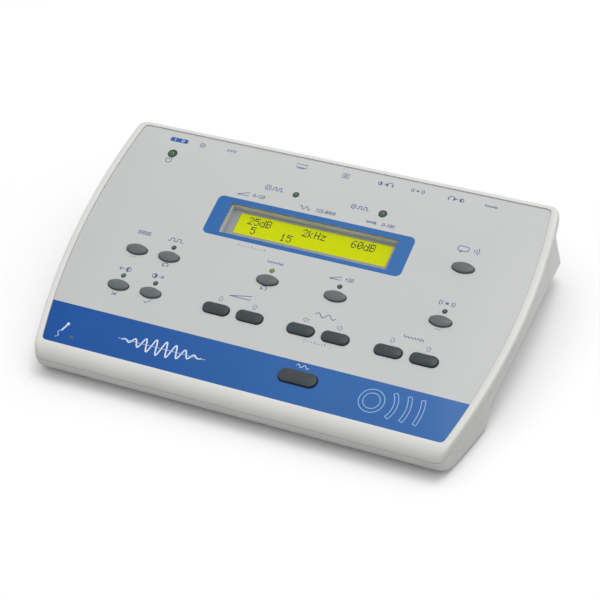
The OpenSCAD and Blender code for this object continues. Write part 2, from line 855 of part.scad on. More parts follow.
// Capsule and rubber sleeve of the talk-over microphone
module microphone() color(metal_colour) {
    at_panel(mic_at, web_bottom + grommet_face + mic_length) cylinder(h = mic_length, d = mic_d);
}
module microphone_grommet() color(black_plastic) {
    at_panel(mic_at, web_bottom + grommet_length) difference() {
        cylinder(h = grommet_length, d = mic_d + 2 * grommet_wall);
        translate([0, 0, -1]) cylinder(h = grommet_length + 1 - grommet_face, d = mic_d);
        cylinder(h = 10, d = mic_hole);
    }
}

// ---------------------------------------------------------------- main board

// Main board on the tub's posts, with a notch beside the power switch
module main_board() color(board_colour) {
    size = [2 * main_board_half, main_board_y[1] - main_board_y[0]];
    notch_y = plate_y - switch_size[1] - spade[1] - 1;
    difference() {
        translate([0, main_board_y[0] + size[1] / 2, main_board_z]) linear_extrude(board_t)
            rounded(size, board_corner);
        for (p = main_posts)
            upright(p, main_board_z - 1, main_board_top + 1, board_screw[0] + 2 * through_play);
        translate([switch_at + switch_size[0] / 2 + 1 - far, notch_y, main_board_z - 1])
            cube([far, far, board_t + 2]);
    }
}

// Block that stands on the main board, given by its middle seen from above
module on_board(x, y, size) {
    translate([x - size[0] / 2, front + y - size[1] / 2, main_board_top]) cube(size);
}

// Chips, capacitors, transformer and the ribbon's headers
module board_components() color(black_plastic) {
    chip = [14, 14, 1.6];
    on_board(-20, 88, chip);
    on_board(46, 90, chip);
    on_board(14, 84, [20, 10, 3]);
    on_board(72, 92, [22, 18, 9]);
    capacitor = [8, 7];
    for (i = [0 : 3])
        upright([-92 + 11 * i, front + 92], main_board_top, main_board_top + capacitor[1], capacitor[0]);
    header_x = ribbon_x - ribbon_w / 2 - 1;
    header_w = ribbon_w + 2;
    translate([header_x, ribbon_y + ribbon_t / 2 + 0.05, main_board_top])
        cube([header_w, header_low[0], header_low[1]]);
    at_panel([header_x, header_v], key_under + header_high[1])
        cube([header_w, header_high[0], header_high[1]]);
}

// Ribbon cable: a half loop from the key board's header to the main board's header
module ribbon_cable() color([0.70, 0.70, 0.74]) {
    low = main_board_top + header_low[1] / 2;
    high = slope_z(ribbon_y, key_under + header_high[1] / 2);
    r = (high - low) / 2;
    translate([ribbon_x, ribbon_y, low + r]) across(ribbon_w) difference() {
        circle(r + ribbon_t / 2);
        circle(r - ribbon_t / 2);
        translate([0, -50]) square(100);
    }
}

// ---------------------------------------------------------------- back wall

// Cylinder that points backwards through the rear panel, from a place seen from behind
module backwards(x, y0, z, length, d) {
    translate([x, y0, z]) rotate([-90, 0, 0]) cylinder(h = length, d = d);
}

// Square hole through the rear panel
module plate_window(x, w, z0, z1) {
    translate([x - w / 2, plate_inner - 1, z0]) cube([w, plate_t + 2, z1 - z0]);
}

// Metal plate that closes the pocket and holds the sockets
module rear_panel() color([0.62, 0.63, 0.65]) {
    hole_y = plate_inner - 1;
    deep = plate_t + 2;
    low = main_board_top - port_play;
    difference() {
        translate([-pocket_half - plate_ear, plate_inner, pocket_z[0] - wall])
            cube([2 * (pocket_half + plate_ear), plate_t, pocket_z[1] - pocket_z[0] + 2 * wall]);
        for (x = concat([response_at], headset_at)) backwards(x, hole_y, axis_z, deep, bush_d + 2 * port_play);
        backwards(inlet_at, hole_y, axis_z, deep, inlet_barrel + port_play);
        plate_window(usb_at, usb_size[0] + 2 * port_play, low, main_board_top + usb_size[2] + port_play);
        plate_window(printer_at, printer_size[0] + 2 * port_play, low,
            main_board_top + printer_size[2] + port_play);
        plate_window(switch_at, switch_size[0] + 2 * port_play, switch_z - switch_size[2] / 2 - port_play,
            switch_z + switch_size[2] / 2 + port_play);
        for (s = [-1, 1])
            backwards(s * plate_screw_x, hole_y, plate_screw_z, deep, plate_screw[0] + 2 * through_play);
    }
}

// Jack socket for a 6.35 mm plug: body on the main board, bush through the rear panel
module jack(x) color(black_plastic) {
    body_y = plate_inner - jack_size[1];
    difference() {
        union() {
            translate([x - jack_size[0] / 2, body_y, main_board_top])
                cube([jack_size[0], jack_size[1], socket_rise + socket_cover]);
            backwards(x, plate_inner - 1, axis_z, plate_t + 1 + bush_show, bush_d);
        }
        backwards(x, body_y + jack_floor, axis_z, far, jack_bore);
    }
}
module jack_response() jack(response_at);
module jack_right() jack(headset_at[0]);
module jack_bone() jack(headset_at[1]);
module jack_left() jack(headset_at[2]);
module jack_insert() jack(headset_at[3]);

// Six-sided nuts that clamp the jacks to the rear panel
module jack_nuts() color(metal_colour) {
    for (x = concat([response_at], headset_at)) difference() {
        translate([x, plate_y, axis_z]) rotate([-90, 0, 0])
            cylinder(h = nut_t, d = nut_flats / cos(30), $fn = 6);
        backwards(x, plate_y - 1, axis_z, nut_t + 2, bush_d + 2 * screw_play);
    }
}

// Round inlet for the low-voltage plug, with its centre pin
module dc_inlet() color(black_plastic) {
    y0 = plate_inner - inlet_size[1];
    difference() {
        union() {
            translate([inlet_at - inlet_size[0] / 2, y0, main_board_top]) cube(inlet_size);
            backwards(inlet_at, plate_inner - 1, axis_z, plate_t + 1.4, inlet_barrel);
        }
        backwards(inlet_at, y0 + 3, axis_z, far, inlet_bore);
    }
    backwards(inlet_at, y0 + 2, axis_z, inlet_size[1] - 2, inlet_pin);
}

// Square computer port with its tongue
module usb_port() color(metal_colour) {
    y0 = plate_y + port_show - usb_size[1];
    shell = (usb_size[2] - usb_mouth[1]) / 2;
    tongue_z = main_board_top + shell + (usb_mouth[1] - usb_tongue[2]) / 2;
    difference() {
        translate([usb_at - usb_size[0] / 2, y0, main_board_top]) cube(usb_size);
        translate([usb_at - usb_mouth[0] / 2, y0 + 6, main_board_top + shell])
            cube([usb_mouth[0], far, usb_mouth[1]]);
    }
    translate([usb_at - usb_tongue[0] / 2, y0 + 5, tongue_z]) cube(usb_tongue);
}

// Printer port with a notch for the plug's latch
module printer_port() color(black_plastic) {
    y0 = plate_y + port_show - printer_size[1];
    difference() {
        translate([printer_at - printer_size[0] / 2, y0, main_board_top]) cube(printer_size);
        translate([printer_at - printer_mouth[0] / 2, y0 + 3, main_board_top + 3.4])
            cube([printer_mouth[0], far, printer_mouth[1]]);
        translate([printer_at - printer_latch[0] / 2, y0 + 3, main_board_top + 1.6])
            cube([printer_latch[0], far, printer_latch[1]]);
    }
}

// Housing of the power switch, with its terminals and the two bearings of the rocker
module power_switch() color(black_plastic) {
    well = [rocker_w + 2 * rocker_gap, far, 2 * rocker_r + 1.6];
    difference() {
        union() {
            translate([switch_at - switch_size[0] / 2, plate_y - switch_size[1], switch_z - switch_size[2] / 2])
                cube(switch_size);
            translate([switch_at - switch_frame[0] / 2, plate_y, switch_z - switch_frame[2] / 2])
                cube(switch_frame);
            for (i = [-1 : 1]) translate([switch_at - spade[0] / 2, plate_y - switch_size[1] - spade[1],
                switch_z + i * spade_pitch - spade[2] / 2]) cube([spade[0], spade[1] + 1, spade[2]]);
        }
        translate([switch_at - well[0] / 2, plate_y - 7.5, switch_z - well[2] / 2]) cube(well);
        translate([switch_at, pivot_y, switch_z]) rotate([0, 90, 0])
            cylinder(h = rocker_w + 2.4, d = trunnion_d + 2 * trunnion_gap, center = true);
    }
}

// Rocker with its two trunnions, tilted to the on side
module power_rocker() color([0.16, 0.16, 0.17]) {
    root = [-2.2, 3];
    face = 3;
    middle = 2.4;
    side = [0.2, rocker_r - 0.3];
    tip = rocker_r - 0.5;
    translate([switch_at, pivot_y, switch_z]) rotate([rocker_swing / 2, 0, 0]) {
        across(rocker_w) polygon([[root[0], -root[1]], [side[0], -side[1]], [face, -tip], [middle, 0],
            [face, tip], side, root]);
        rotate([0, 90, 0]) cylinder(h = rocker_w + 2, d = trunnion_d, center = true);
    }
}

// ---------------------------------------------------------------- feet and screws

// Four rubber feet sunk into the tub's floor
module rubber_feet() color([0.14, 0.14, 0.15]) {
    for (x = [-1, 1], y = foot_y) upright([x * foot_x, y], 0, foot_show + foot_sink, foot_d);
}

// Pan-head screw that points up, with its head's seat at the origin
module screw_up(size, length) {
    difference() {
        union() {
            translate([0, 0, -size[2]]) cylinder(h = size[2], d = size[1]);
            cylinder(h = length, d = size[0]);
        }
        translate([0, 0, -size[2]]) cylinder(h = size[2] * 0.55, d = size[1] * 0.5, $fn = 6);
    }
}

// Four screws that hold the shells together from below
module case_screws() color(metal_colour) {
    seat = foot_show + head_recess;
    for (p = case_places) translate([p[0], p[1], seat]) screw_up(case_screw, p[2] + thread_in - seat);
}

// Screws of the key board, from below, and of the main board, from above
module board_screws() color(metal_colour) {
    for (p = key_board_posts) at_panel(p, key_under) screw_up(board_screw, board_t + thread_in);
    for (p = main_posts) translate([p[0], p[1], main_board_top]) rotate([180, 0, 0])
        screw_up(board_screw, board_t + thread_in);
}

// Screws of the display board, from below
module lcd_screws() color(metal_colour) {
    for (p = lcd_corners) at_panel(p, lcd_under) screw_up(lcd_screw, board_t + thread_in);
}

// Screws that hold the rear panel to the pocket's frame, from inside
module rear_panel_screws() color(metal_colour) {
    for (s = [-1, 1]) translate([s * plate_screw_x, plate_inner, plate_screw_z]) rotate([-90, 0, 0])
        screw_up(plate_screw, plate_t + thread_in);
}

upper_case();
lower_case();
panel_overlay();
display_window();
lcd_bezel();
lcd_glass();
lcd_backlight();
lcd_board();
lcd_cable();
keypad_board();
key_switches();
key_menu();
key_pulse();
key_left();
key_right();
key_mask();
key_boost();
key_talkover();
key_bone();
key_signal_down();
key_signal_up();
key_frequency_down();
key_frequency_up();
key_masking_down();
key_masking_up();
key_present();
led_power();
led_present();
led_response();
led_pulse();
led_left();
led_right();
led_mask();
led_boost();
led_bone();
microphone();
microphone_grommet();
main_board();
board_components();
ribbon_cable();
rear_panel();
power_switch();
power_rocker();
dc_inlet();
usb_port();
printer_port();
jack_response();
jack_right();
jack_bone();
jack_left();
jack_insert();
jack_nuts();
rubber_feet();
case_screws();
board_screws();
lcd_screws();
rear_panel_screws();
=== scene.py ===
import bpy
import bmesh
import math
import numpy as np
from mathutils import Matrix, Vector
from mathutils.geometry import delaunay_2d_cdt


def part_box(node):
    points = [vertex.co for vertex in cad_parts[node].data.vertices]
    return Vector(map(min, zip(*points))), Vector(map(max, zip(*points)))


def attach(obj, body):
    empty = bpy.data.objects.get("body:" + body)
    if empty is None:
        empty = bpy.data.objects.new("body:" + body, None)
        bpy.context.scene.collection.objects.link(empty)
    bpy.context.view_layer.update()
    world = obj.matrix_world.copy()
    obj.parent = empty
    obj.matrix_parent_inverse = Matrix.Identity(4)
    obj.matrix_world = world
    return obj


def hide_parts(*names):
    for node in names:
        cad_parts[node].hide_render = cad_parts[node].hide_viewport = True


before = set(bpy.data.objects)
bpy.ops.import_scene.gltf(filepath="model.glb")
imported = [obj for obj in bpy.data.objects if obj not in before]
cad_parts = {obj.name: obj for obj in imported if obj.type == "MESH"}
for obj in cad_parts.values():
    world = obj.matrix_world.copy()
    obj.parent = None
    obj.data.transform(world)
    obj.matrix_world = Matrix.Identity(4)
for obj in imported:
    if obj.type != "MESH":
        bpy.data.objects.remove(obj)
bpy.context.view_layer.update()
print("the frame is loaded")

# Lengths here are millimetres. On the sloping panel u runs across, v up the slope and w straight out of it.
mm = 0.001
panel = {"tilt": 12.5, "length": 152.2, "halfWidth": 128.2, "bow": 370.0, "widestAt": 93.0,
         "sheet": 0.5, "sheetGap": 0.12, "corner": 3.0, "web": 3.0}
slope = math.radians(panel["tilt"])
rise, run = math.sin(slope), math.cos(slope)
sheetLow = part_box("panel_overlay")[0] / mm
panelFront = sheetLow.y - panel["sheetGap"] * run
panelHeight = sheetLow.z + panel["sheet"] * run - panel["sheetGap"] * rise


# small helpers for shapes


def fromPanel(u, v, w):
    # panel distances to the object's own: y = front + v cos - w sin, z = height + v sin + w cos
    u, v, w = np.broadcast_arrays(np.asarray(u, float), v, w)
    return np.stack([u, panelFront + v * run - w * rise, panelHeight + v * rise + w * run], axis=-1)


def nodePoints(node):
    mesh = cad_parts[node].data
    flat = np.zeros(len(mesh.vertices) * 3)
    mesh.vertices.foreach_get("co", flat)
    return flat.reshape(-1, 3) / mm


def panelBox(node):
    # lowest and highest u, v and w of a CAD node
    p = nodePoints(node)
    y, z = p[:, 1] - panelFront, p[:, 2] - panelHeight
    flat = np.stack([p[:, 0], y * run + z * rise, z * run - y * rise], axis=1)
    return flat.min(0), flat.max(0)


def panelPlace(node):
    low, high = panelBox(node)
    return (low[:2] + high[:2]) / 2


def gridFaces(rows, columns, offset=0, ringRows=False, ringColumns=True):
    # quads of a grid of points stored row by row; a ring joins its last row or column to its first
    r = np.arange(rows if ringRows else rows - 1)[:, None]
    c = np.arange(columns if ringColumns else columns - 1)[None, :]
    nextR, nextC = (r + 1) % rows, (c + 1) % columns
    quads = [r * columns + c, r * columns + nextC, nextR * columns + nextC, nextR * columns + c]
    return np.stack([np.broadcast_to(q, (r.size, c.size)) for q in quads], axis=-1).reshape(-1, 4) + offset


def insideLoop(points, loop):
    # even and odd crossings of a ray along +x
    x, y = points[:, 0][:, None], points[:, 1][:, None]
    x0, y0 = loop[:, 0], loop[:, 1]
    x1, y1 = np.roll(x0, -1), np.roll(y0, -1)
    crosses = (y0 > y) != (y1 > y)
    at = x0 + (y - y0) * (x1 - x0) / np.where(y1 == y0, 1e-12, y1 - y0)
    return (crosses & (x < at)).sum(1) % 2 == 1


def fillPlate(outline, holes=()):
    # flat triangles between an outline and its holes
    loops = []
    for loop in [outline, *holes]:
        far = np.linalg.norm(loop - np.roll(loop, 1, axis=0), axis=1) > 1e-4
        loops.append(loop[far])
    points = np.concatenate(loops)
    edges, start = [], 0
    for loop in loops:
        i = start + np.arange(len(loop))
        edges += np.stack([i, np.roll(i, -1)], axis=1).tolist()
        start += len(loop)
    made = delaunay_2d_cdt([Vector(p) for p in points], edges, [], 1, 1e-5)
    flat = np.array([tuple(p) for p in made[0]])
    tris = np.array([f for f in made[2] if len(f) == 3])
    middle = flat[tris].mean(1)
    keep = insideLoop(middle, loops[0])
    for hole in loops[1:]:
        keep &= ~insideLoop(middle, hole)
    return flat, tris[keep]


class Shape:
    # gathers points and faces of one piece
    def __init__(self):
        self.points, self.faces, self.count = [], [], 0

    def add(self, points, faces):
        points = np.asarray(points, float).reshape(-1, 3)
        self.points.append(points)
        if isinstance(faces, np.ndarray):
            self.faces += (faces + self.count).tolist()
        else:
            self.faces += [[i + self.count for i in face] for face in faces]
        self.count += len(points)

    def addGrid(self, points, ringRows=False, ringColumns=True):
        self.add(points, gridFaces(points.shape[0], points.shape[1], 0, ringRows, ringColumns))

    def addPlate(self, flat, tris, lift):
        self.add(lift(flat[:, 0], flat[:, 1]), tris)


def makePiece(name, shape, finish, body="case", stands=(), crease=35, mend=True):
    mesh = bpy.data.meshes.new(name)
    mesh.from_pydata((np.concatenate(shape.points) * mm).tolist(), [], shape.faces)
    if mend:
        work = bmesh.new()
        work.from_mesh(mesh)
        bmesh.ops.remove_doubles(work, verts=work.verts, dist=1e-6)
        bmesh.ops.dissolve_degenerate(work, edges=work.edges, dist=1e-7)
        bmesh.ops.recalc_face_normals(work, faces=work.faces)
        work.to_mesh(mesh)
        work.free()
    mesh.validate()
    mesh.shade_smooth()
    mesh.set_sharp_from_angle(angle=math.radians(crease))
    mesh.materials.append(finish)
    piece = bpy.data.objects.new(name, mesh)
    bpy.context.scene.collection.objects.link(piece)
    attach(piece, body)
    if stands:
        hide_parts(*stands)
    return piece


# finishes


def linear(red, green, blue, alpha=1.0):
    # a screen colour from 0 to 255 as the render's own linear one
    c = np.array([red, green, blue]) / 255
    c = np.where(c <= 0.04045, c / 12.92, ((c + 0.055) / 1.055) ** 2.4)
    return (float(c[0]), float(c[1]), float(c[2]), alpha)


def makeGrainGroup():
    # moulded grain: a fine and a coarse noise make the height, and a broad one a slow change of tint
    group = bpy.data.node_groups.new("mouldedGrain", "ShaderNodeTree")
    inputs = (("Place", "NodeSocketVector"), ("Fineness", "NodeSocketFloat"), ("Breadth", "NodeSocketFloat"))
    for label, kind in inputs:
        group.interface.new_socket(label, in_out="INPUT", socket_type=kind)
    for label in ("Height", "Tint"):
        group.interface.new_socket(label, in_out="OUTPUT", socket_type="NodeSocketFloat")
    n, link = group.nodes, group.links.new
    start, end = n.new("NodeGroupInput"), n.new("NodeGroupOutput")
    fine, coarse, broad = (n.new("ShaderNodeTexNoise") for _ in range(3))
    third = n.new("ShaderNodeMath")
    third.operation, third.inputs[1].default_value = "MULTIPLY", 0.37
    mix = n.new("ShaderNodeMix")
    mix.inputs[0].default_value = 0.4
    for noise, detail in ((fine, 3), (coarse, 2), (broad, 2)):
        noise.inputs["Detail"].default_value = detail
        link(start.outputs["Place"], noise.inputs["Vector"])
    link(start.outputs["Fineness"], fine.inputs["Scale"])
    link(start.outputs["Fineness"], third.inputs[0])
    link(third.outputs[0], coarse.inputs["Scale"])
    link(start.outputs["Breadth"], broad.inputs["Scale"])
    link(fine.outputs["Fac"], mix.inputs[2])
    link(coarse.outputs["Fac"], mix.inputs[3])
    link(mix.outputs[0], end.inputs["Height"])
    link(broad.outputs["Fac"], end.inputs["Tint"])
    return group


mouldedGrain = makeGrainGroup()


def startFinish(name, roughness, metal=0.0):
    material = bpy.data.materials.new(name)
    material.use_nodes = True
    tree = material.node_tree
    shader = tree.nodes["Principled BSDF"]
    shader.inputs["Roughness"].default_value = roughness
    shader.inputs["Metallic"].default_value = metal
    place = tree.nodes.new("ShaderNodeTexCoord")
    return material, tree, shader, place.outputs["Object"]


def moulded(name, colour, shade=0.92, roughness=0.45, grain=2600.0, depth=0.012, metal=0.0, spread=0.06,
            breadth=35.0):
    # plastic, rubber or painted metal: one colour that drifts a little, a fine grain, roughness that follows it
    material, tree, shader, place = startFinish(name, roughness, metal)
    n, link = tree.nodes, tree.links.new
    grainNode = n.new("ShaderNodeGroup")
    grainNode.node_tree = mouldedGrain
    grainNode.inputs["Fineness"].default_value = grain
    grainNode.inputs["Breadth"].default_value = breadth
    link(place, grainNode.inputs["Place"])
    tone = n.new("ShaderNodeMix")
    tone.data_type = "RGBA"
    tone.inputs[6].default_value = (*(c * shade for c in colour[:3]), 1)
    tone.inputs[7].default_value = colour
    spreadTint = n.new("ShaderNodeMapRange")
    spreadTint.inputs["From Min"].default_value = 0.3
    spreadTint.inputs["From Max"].default_value = 0.7
    link(grainNode.outputs["Tint"], spreadTint.inputs["Value"])
    link(spreadTint.outputs["Result"], tone.inputs[0])
    link(tone.outputs[2], shader.inputs["Base Color"])
    dull = n.new("ShaderNodeMapRange")
    dull.inputs["To Min"].default_value = roughness - spread
    dull.inputs["To Max"].default_value = roughness + spread
    link(grainNode.outputs["Height"], dull.inputs["Value"])
    link(dull.outputs["Result"], shader.inputs["Roughness"])
    bump = n.new("ShaderNodeBump")
    bump.inputs["Strength"].default_value = 0.35
    bump.inputs["Distance"].default_value = depth * mm
    link(grainNode.outputs["Height"], bump.inputs["Height"])
    link(bump.outputs["Normal"], shader.inputs["Normal"])
    return material


caseFinish = moulded("casePlastic", linear(213, 213, 210), shade=0.96, roughness=0.42, grain=2200, depth=0.02)
ovalFinish = moulded("ovalKeyRubber", linear(92, 98, 100), shade=0.85, roughness=0.40, grain=3000, depth=0.01)
pillFinish = moulded("pillKeyRubber", linear(38, 50, 54), shade=0.85, roughness=0.38, grain=3000, depth=0.01)
blackFinish = moulded("blackPlastic", linear(34, 34, 36), shade=0.8, roughness=0.36, grain=2400)
rubberFinish = moulded("footRubber", linear(38, 38, 39), shade=0.8, roughness=0.7, grain=1500, depth=0.03)
backFinish = moulded("rearPaint", linear(150, 153, 156), shade=0.94, roughness=0.5, grain=900, depth=0.03,
                     metal=0.1)
metalFinish = moulded("nickelPlate", linear(190, 192, 196), shade=0.88, roughness=0.28, grain=1200, depth=0.004,
                      metal=1.0)
screwFinish = moulded("zincPlate", linear(178, 180, 178), shade=0.8, roughness=0.34, grain=1600, depth=0.006,
                      metal=1.0)
guideFinish = moulded("lightGuide", linear(225, 228, 190), shade=0.95, roughness=0.3, grain=1500)
print("the plain finishes are made")

# outlines of the case

caseSizes = {"rim": 4.2, "rimRise": 0.7, "rimRound": 1.6, "rearRound": 3.0, "seam": 5.0, "reveal": 0.35,
             "revealDepth": 0.8, "wall": 2.5, "frontCorner": 5.0, "rearCorner": 7.0, "lean": 21.5,
             "noseAt": 1.2, "innerFront": 8.0, "innerRear": 4.0, "ledge": 2.0, "shy": 0.012,
             "break": ((0, 0.15), (0.05, 0.05), (0.14, 0))}
caseLow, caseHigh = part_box("lower_case")
underside = caseLow.z / mm
caseFoot = caseHigh.y / mm
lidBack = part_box("upper_case")[1].y / mm
noseR = (panelHeight - caseSizes["noseAt"] * rise + caseSizes["rimRise"] * run - underside) / (1 + run)
noseV, noseW = -caseSizes["noseAt"], caseSizes["rimRise"] - noseR
noseAt = fromPanel(0, noseV, noseW)
bowCentre = panel["halfWidth"] - panel["bow"]
leanRun = math.tan(math.radians(caseSizes["lean"]))


def halfRing(side, low, high, lowR, highR, middle):
    # right half of a ring in the panel's plane, from the middle of its low edge to the middle of its high one:
    # a bowed side about (bowCentre, middle), and corner circles that touch it and their own edges from inside
    big = panel["bow"] + side

    def corner(edge, r, towards):
        cv = edge - towards * r
        reach = math.sqrt((big - r) ** 2 - (cv - middle) ** 2)
        return bowCentre + reach, cv, math.atan2(cv - middle, reach)

    lowU, lowV, lowTurn = corner(low, lowR, -1)
    highU, highV, highTurn = corner(high, highR, 1)
    a = np.linspace(-math.pi / 2, lowTurn, 14)
    b = np.linspace(lowTurn, highTurn, 62)[1:-1]
    c = np.linspace(highTurn, math.pi / 2, 14)
    u = np.concatenate([np.linspace(0, lowU, 24)[:-1], lowU + lowR * np.cos(a), bowCentre + big * np.cos(b),
                        highU + highR * np.cos(c), np.linspace(highU, 0, 24)[1:]])
    v = np.concatenate([np.full(23, low), lowV + lowR * np.sin(a), middle + big * np.sin(b),
                        highV + highR * np.sin(c), np.full(23, high)])
    return np.stack([u, v], axis=1)


def wholeRing(half):
    left = half[-2:0:-1].copy()
    left[:, 0] *= -1
    return np.concatenate([half, left])


def lidRing(w, inset=0.0):
    # the lid's outer ring at a height w over the panel: a round rim at the sides, nose in front, round back;
    # each reaches out by the square root of its radius squared less the height to its centre squared
    h = caseSizes["rimRise"] - w
    r = caseSizes["rimRound"]
    grow = caseSizes["rim"] - r + (math.sqrt(max(2 * r * h - h * h, 0)) if h < r else r)
    low = noseV - math.sqrt(max((noseR - inset) ** 2 - (w - noseW) ** 2, 0))
    rr = caseSizes["rearRound"]
    centreV = (lidBack - rr - panelFront + (caseSizes["rimRise"] - rr) * rise) / run
    edgeW = caseSizes["rimRise"] - rr - rr * rise
    if w > edgeW:
        high = centreV + math.sqrt(max(rr ** 2 - (w - caseSizes["rimRise"] + rr) ** 2, 0)) - caseSizes["shy"]
    else:
        high = centreV + rr * run + (w - edgeW) * rise / run
    share = min(h / r, 1)
    lowR = panel["corner"] + (caseSizes["frontCorner"] - panel["corner"]) * math.sqrt(share)
    highR = panel["corner"] + (caseSizes["rearCorner"] - panel["corner"]) * math.sqrt(share)
    middle = panel["widestAt"] + min(w + caseSizes["seam"], caseSizes["seam"]) * rise / run
    return wholeRing(halfRing(grow - inset - caseSizes["shy"], low, high - inset, lowR, highR, middle))


def sheetRing(inset=0.0):
    corner = panel["corner"]
    return wholeRing(halfRing(-inset, inset, panel["length"] - inset, corner, corner, panel["widestAt"]))


def pillLoop(length, width, count=48):
    t = np.linspace(-math.pi / 2, math.pi / 2, count // 2)
    a = np.stack([(length - width) / 2 + width / 2 * np.cos(t), width / 2 * np.sin(t)], axis=1)
    return np.concatenate([a, -a])


def ovalLoop(length, width, endR, count=24):
    # four arcs: two small ends, and a flat top and bottom arc that touch them
    a, b = length / 2 - endR, width / 2
    big = (a * a + b * b - endR * endR) / (2 * (b - endR))
    touch = math.atan2(big - b, a)
    end = np.linspace(-touch, touch, count)
    right = np.stack([a + endR * np.cos(end), endR * np.sin(end)], axis=1)
    over = np.linspace(touch, math.pi - touch, count)[1:-1]
    top = np.stack([big * np.cos(over), b - big + big * np.sin(over)], axis=1)
    return np.concatenate([right, top, -right, -top])


def circleLoop(d, count=48):
    t = np.linspace(0, 2 * math.pi, count, endpoint=False)
    return np.stack([np.cos(t), np.sin(t)], axis=1) * d / 2


def rectLoop(width, height, corner, count=8):
    t = np.linspace(0, math.pi / 2, count)
    parts = []
    for i, (sx, sy) in enumerate(((1, 1), (-1, 1), (-1, -1), (1, -1))):
        turned = t + i * math.pi / 2
        parts.append(np.stack([sx * (width / 2 - corner) + corner * np.cos(turned),
                               sy * (height / 2 - corner) + corner * np.sin(turned)], axis=1))
    return np.concatenate(parts)


# places of the keys, lamps and display, read from the frame

keySizes = {"gap": 0.35, "rise": 2.0, "ovalEnd": 2.0, "flangeTop": 3.2, "flange": 1.2, "stem": 3.0,
            "dome": 0.45, "edge": 0.75, "root": 0.15, "flangeThick": 1.2}
ovalKeys = ["menu", "pulse", "left", "right", "mask", "boost", "talkover", "bone"]
pillKeys = ["signal_down", "signal_up", "frequency_down", "frequency_up", "masking_down", "masking_up",
            "present"]
keyPlace = {k: panelPlace("key_" + k) for k in ovalKeys + pillKeys}


def keyCap(k):
    # length and width of the part of a key that shows
    low, high = panelBox("key_" + k)
    return (high - low)[:2] - 2 * keySizes["flange"]


keySize = {k: keyCap(k) for k in keyPlace}
lamps = ["power", "present", "response", "pulse", "left", "right", "mask", "boost", "bone"]
lampPlace = {k: panelPlace("led_" + k) for k in lamps}
lampD = {k: float((panelBox("led_" + k)[1] - panelBox("led_" + k)[0])[0]) - 1.0 for k in lamps}
windowLow, windowHigh = panelBox("display_window")
windowAt = (windowLow[:2] + windowHigh[:2]) / 2
openingSize, openingCorner = np.array([100.3, 20.4]), 0.8
micAt = panelPlace("microphone")
micHole, lampGap = 1.8, 0.2


def panelHoles(extra=0.0):
    loops = []
    gap = 2 * (keySizes["gap"] + extra)
    for k in ovalKeys:
        loops.append(ovalLoop(*(keySize[k] + gap), keySizes["ovalEnd"] + gap / 2) + keyPlace[k])
    for k in pillKeys:
        loops.append(pillLoop(*(keySize[k] + gap)) + keyPlace[k])
    for k in lamps:
        loops.append(circleLoop(lampD[k] + 2 * (lampGap + extra)) + lampPlace[k])
    loops.append(circleLoop(micHole + 2 * extra, 32) + micAt)
    loops.append(rectLoop(*openingSize, openingCorner) + windowAt)
    return loops


# the lid

def makeLid():
    top = caseSizes["rimRise"]
    seam = -caseSizes["seam"]
    floorW = -panel["sheet"]
    webW = -panel["web"]
    # the rim's inner edge is broken by a small rounding
    rings = [(sheetRing(), floorW)] + [(sheetRing(-out), top - down) for out, down in caseSizes["break"]]
    depth = np.linspace(0, 1, 20) ** 2 * (top - seam - caseSizes["reveal"])
    rings += [(lidRing(top - h), top - h) for h in depth]
    gapW = seam + caseSizes["reveal"]
    rings += [(lidRing(gapW, caseSizes["revealDepth"]), gapW), (lidRing(seam, caseSizes["revealDepth"]), seam)]

    def innerRing(w):
        # the cavity's edge: a wall's thickness in, and at the back the line of the leaning wall
        backY = caseFoot - caseSizes["wall"] / math.cos(math.radians(caseSizes["lean"]))
        level = panelHeight - underside + w / run
        y = (backY + leanRun * (panelFront * rise / run - level)) / (1 + leanRun * rise / run)
        v = (y - panelFront + w * rise) / run
        low = noseV - math.sqrt((noseR - caseSizes["wall"]) ** 2 - (w - noseW) ** 2)
        return wholeRing(halfRing(caseSizes["rim"] - caseSizes["wall"], low, v,
                                  caseSizes["innerFront"], caseSizes["innerRear"], panel["widestAt"]))

    rings += [(innerRing(seam), seam), (innerRing(webW), webW)]
    shape = Shape()
    shape.addGrid(np.stack([fromPanel(r[:, 0], r[:, 1], w) for r, w in rings]))
    holes = panelHoles()
    ledge = rectLoop(*(openingSize + 2 * caseSizes["ledge"]), openingCorner) + windowAt
    flat, tris = fillPlate(sheetRing(), holes[:-1] + [ledge])
    shape.addPlate(flat, tris, lambda u, v: fromPanel(u, v, floorW))
    flat, tris = fillPlate(innerRing(webW), holes)
    shape.addPlate(flat, tris, lambda u, v: fromPanel(u, v, webW))
    for loop in holes[:-1]:
        shape.addGrid(np.stack([fromPanel(loop[:, 0], loop[:, 1], w) for w in (floorW, webW)]))
    ledgeW = float(windowLow[2])
    flat, tris = fillPlate(ledge, holes[-1:])
    shape.addPlate(flat, tris, lambda u, v: fromPanel(u, v, ledgeW))
    shape.addGrid(np.stack([fromPanel(ledge[:, 0], ledge[:, 1], w) for w in (floorW, ledgeW)]))
    shape.addGrid(np.stack([fromPanel(holes[-1][:, 0], holes[-1][:, 1], w) for w in (ledgeW, webW)]))
    return makePiece("lid_shell", shape, caseFinish, stands=["upper_case"], crease=32)


makeLid()
print("the lid is made")


# the tub: nose, sides with finger grips, and a leaning back with the socket pocket

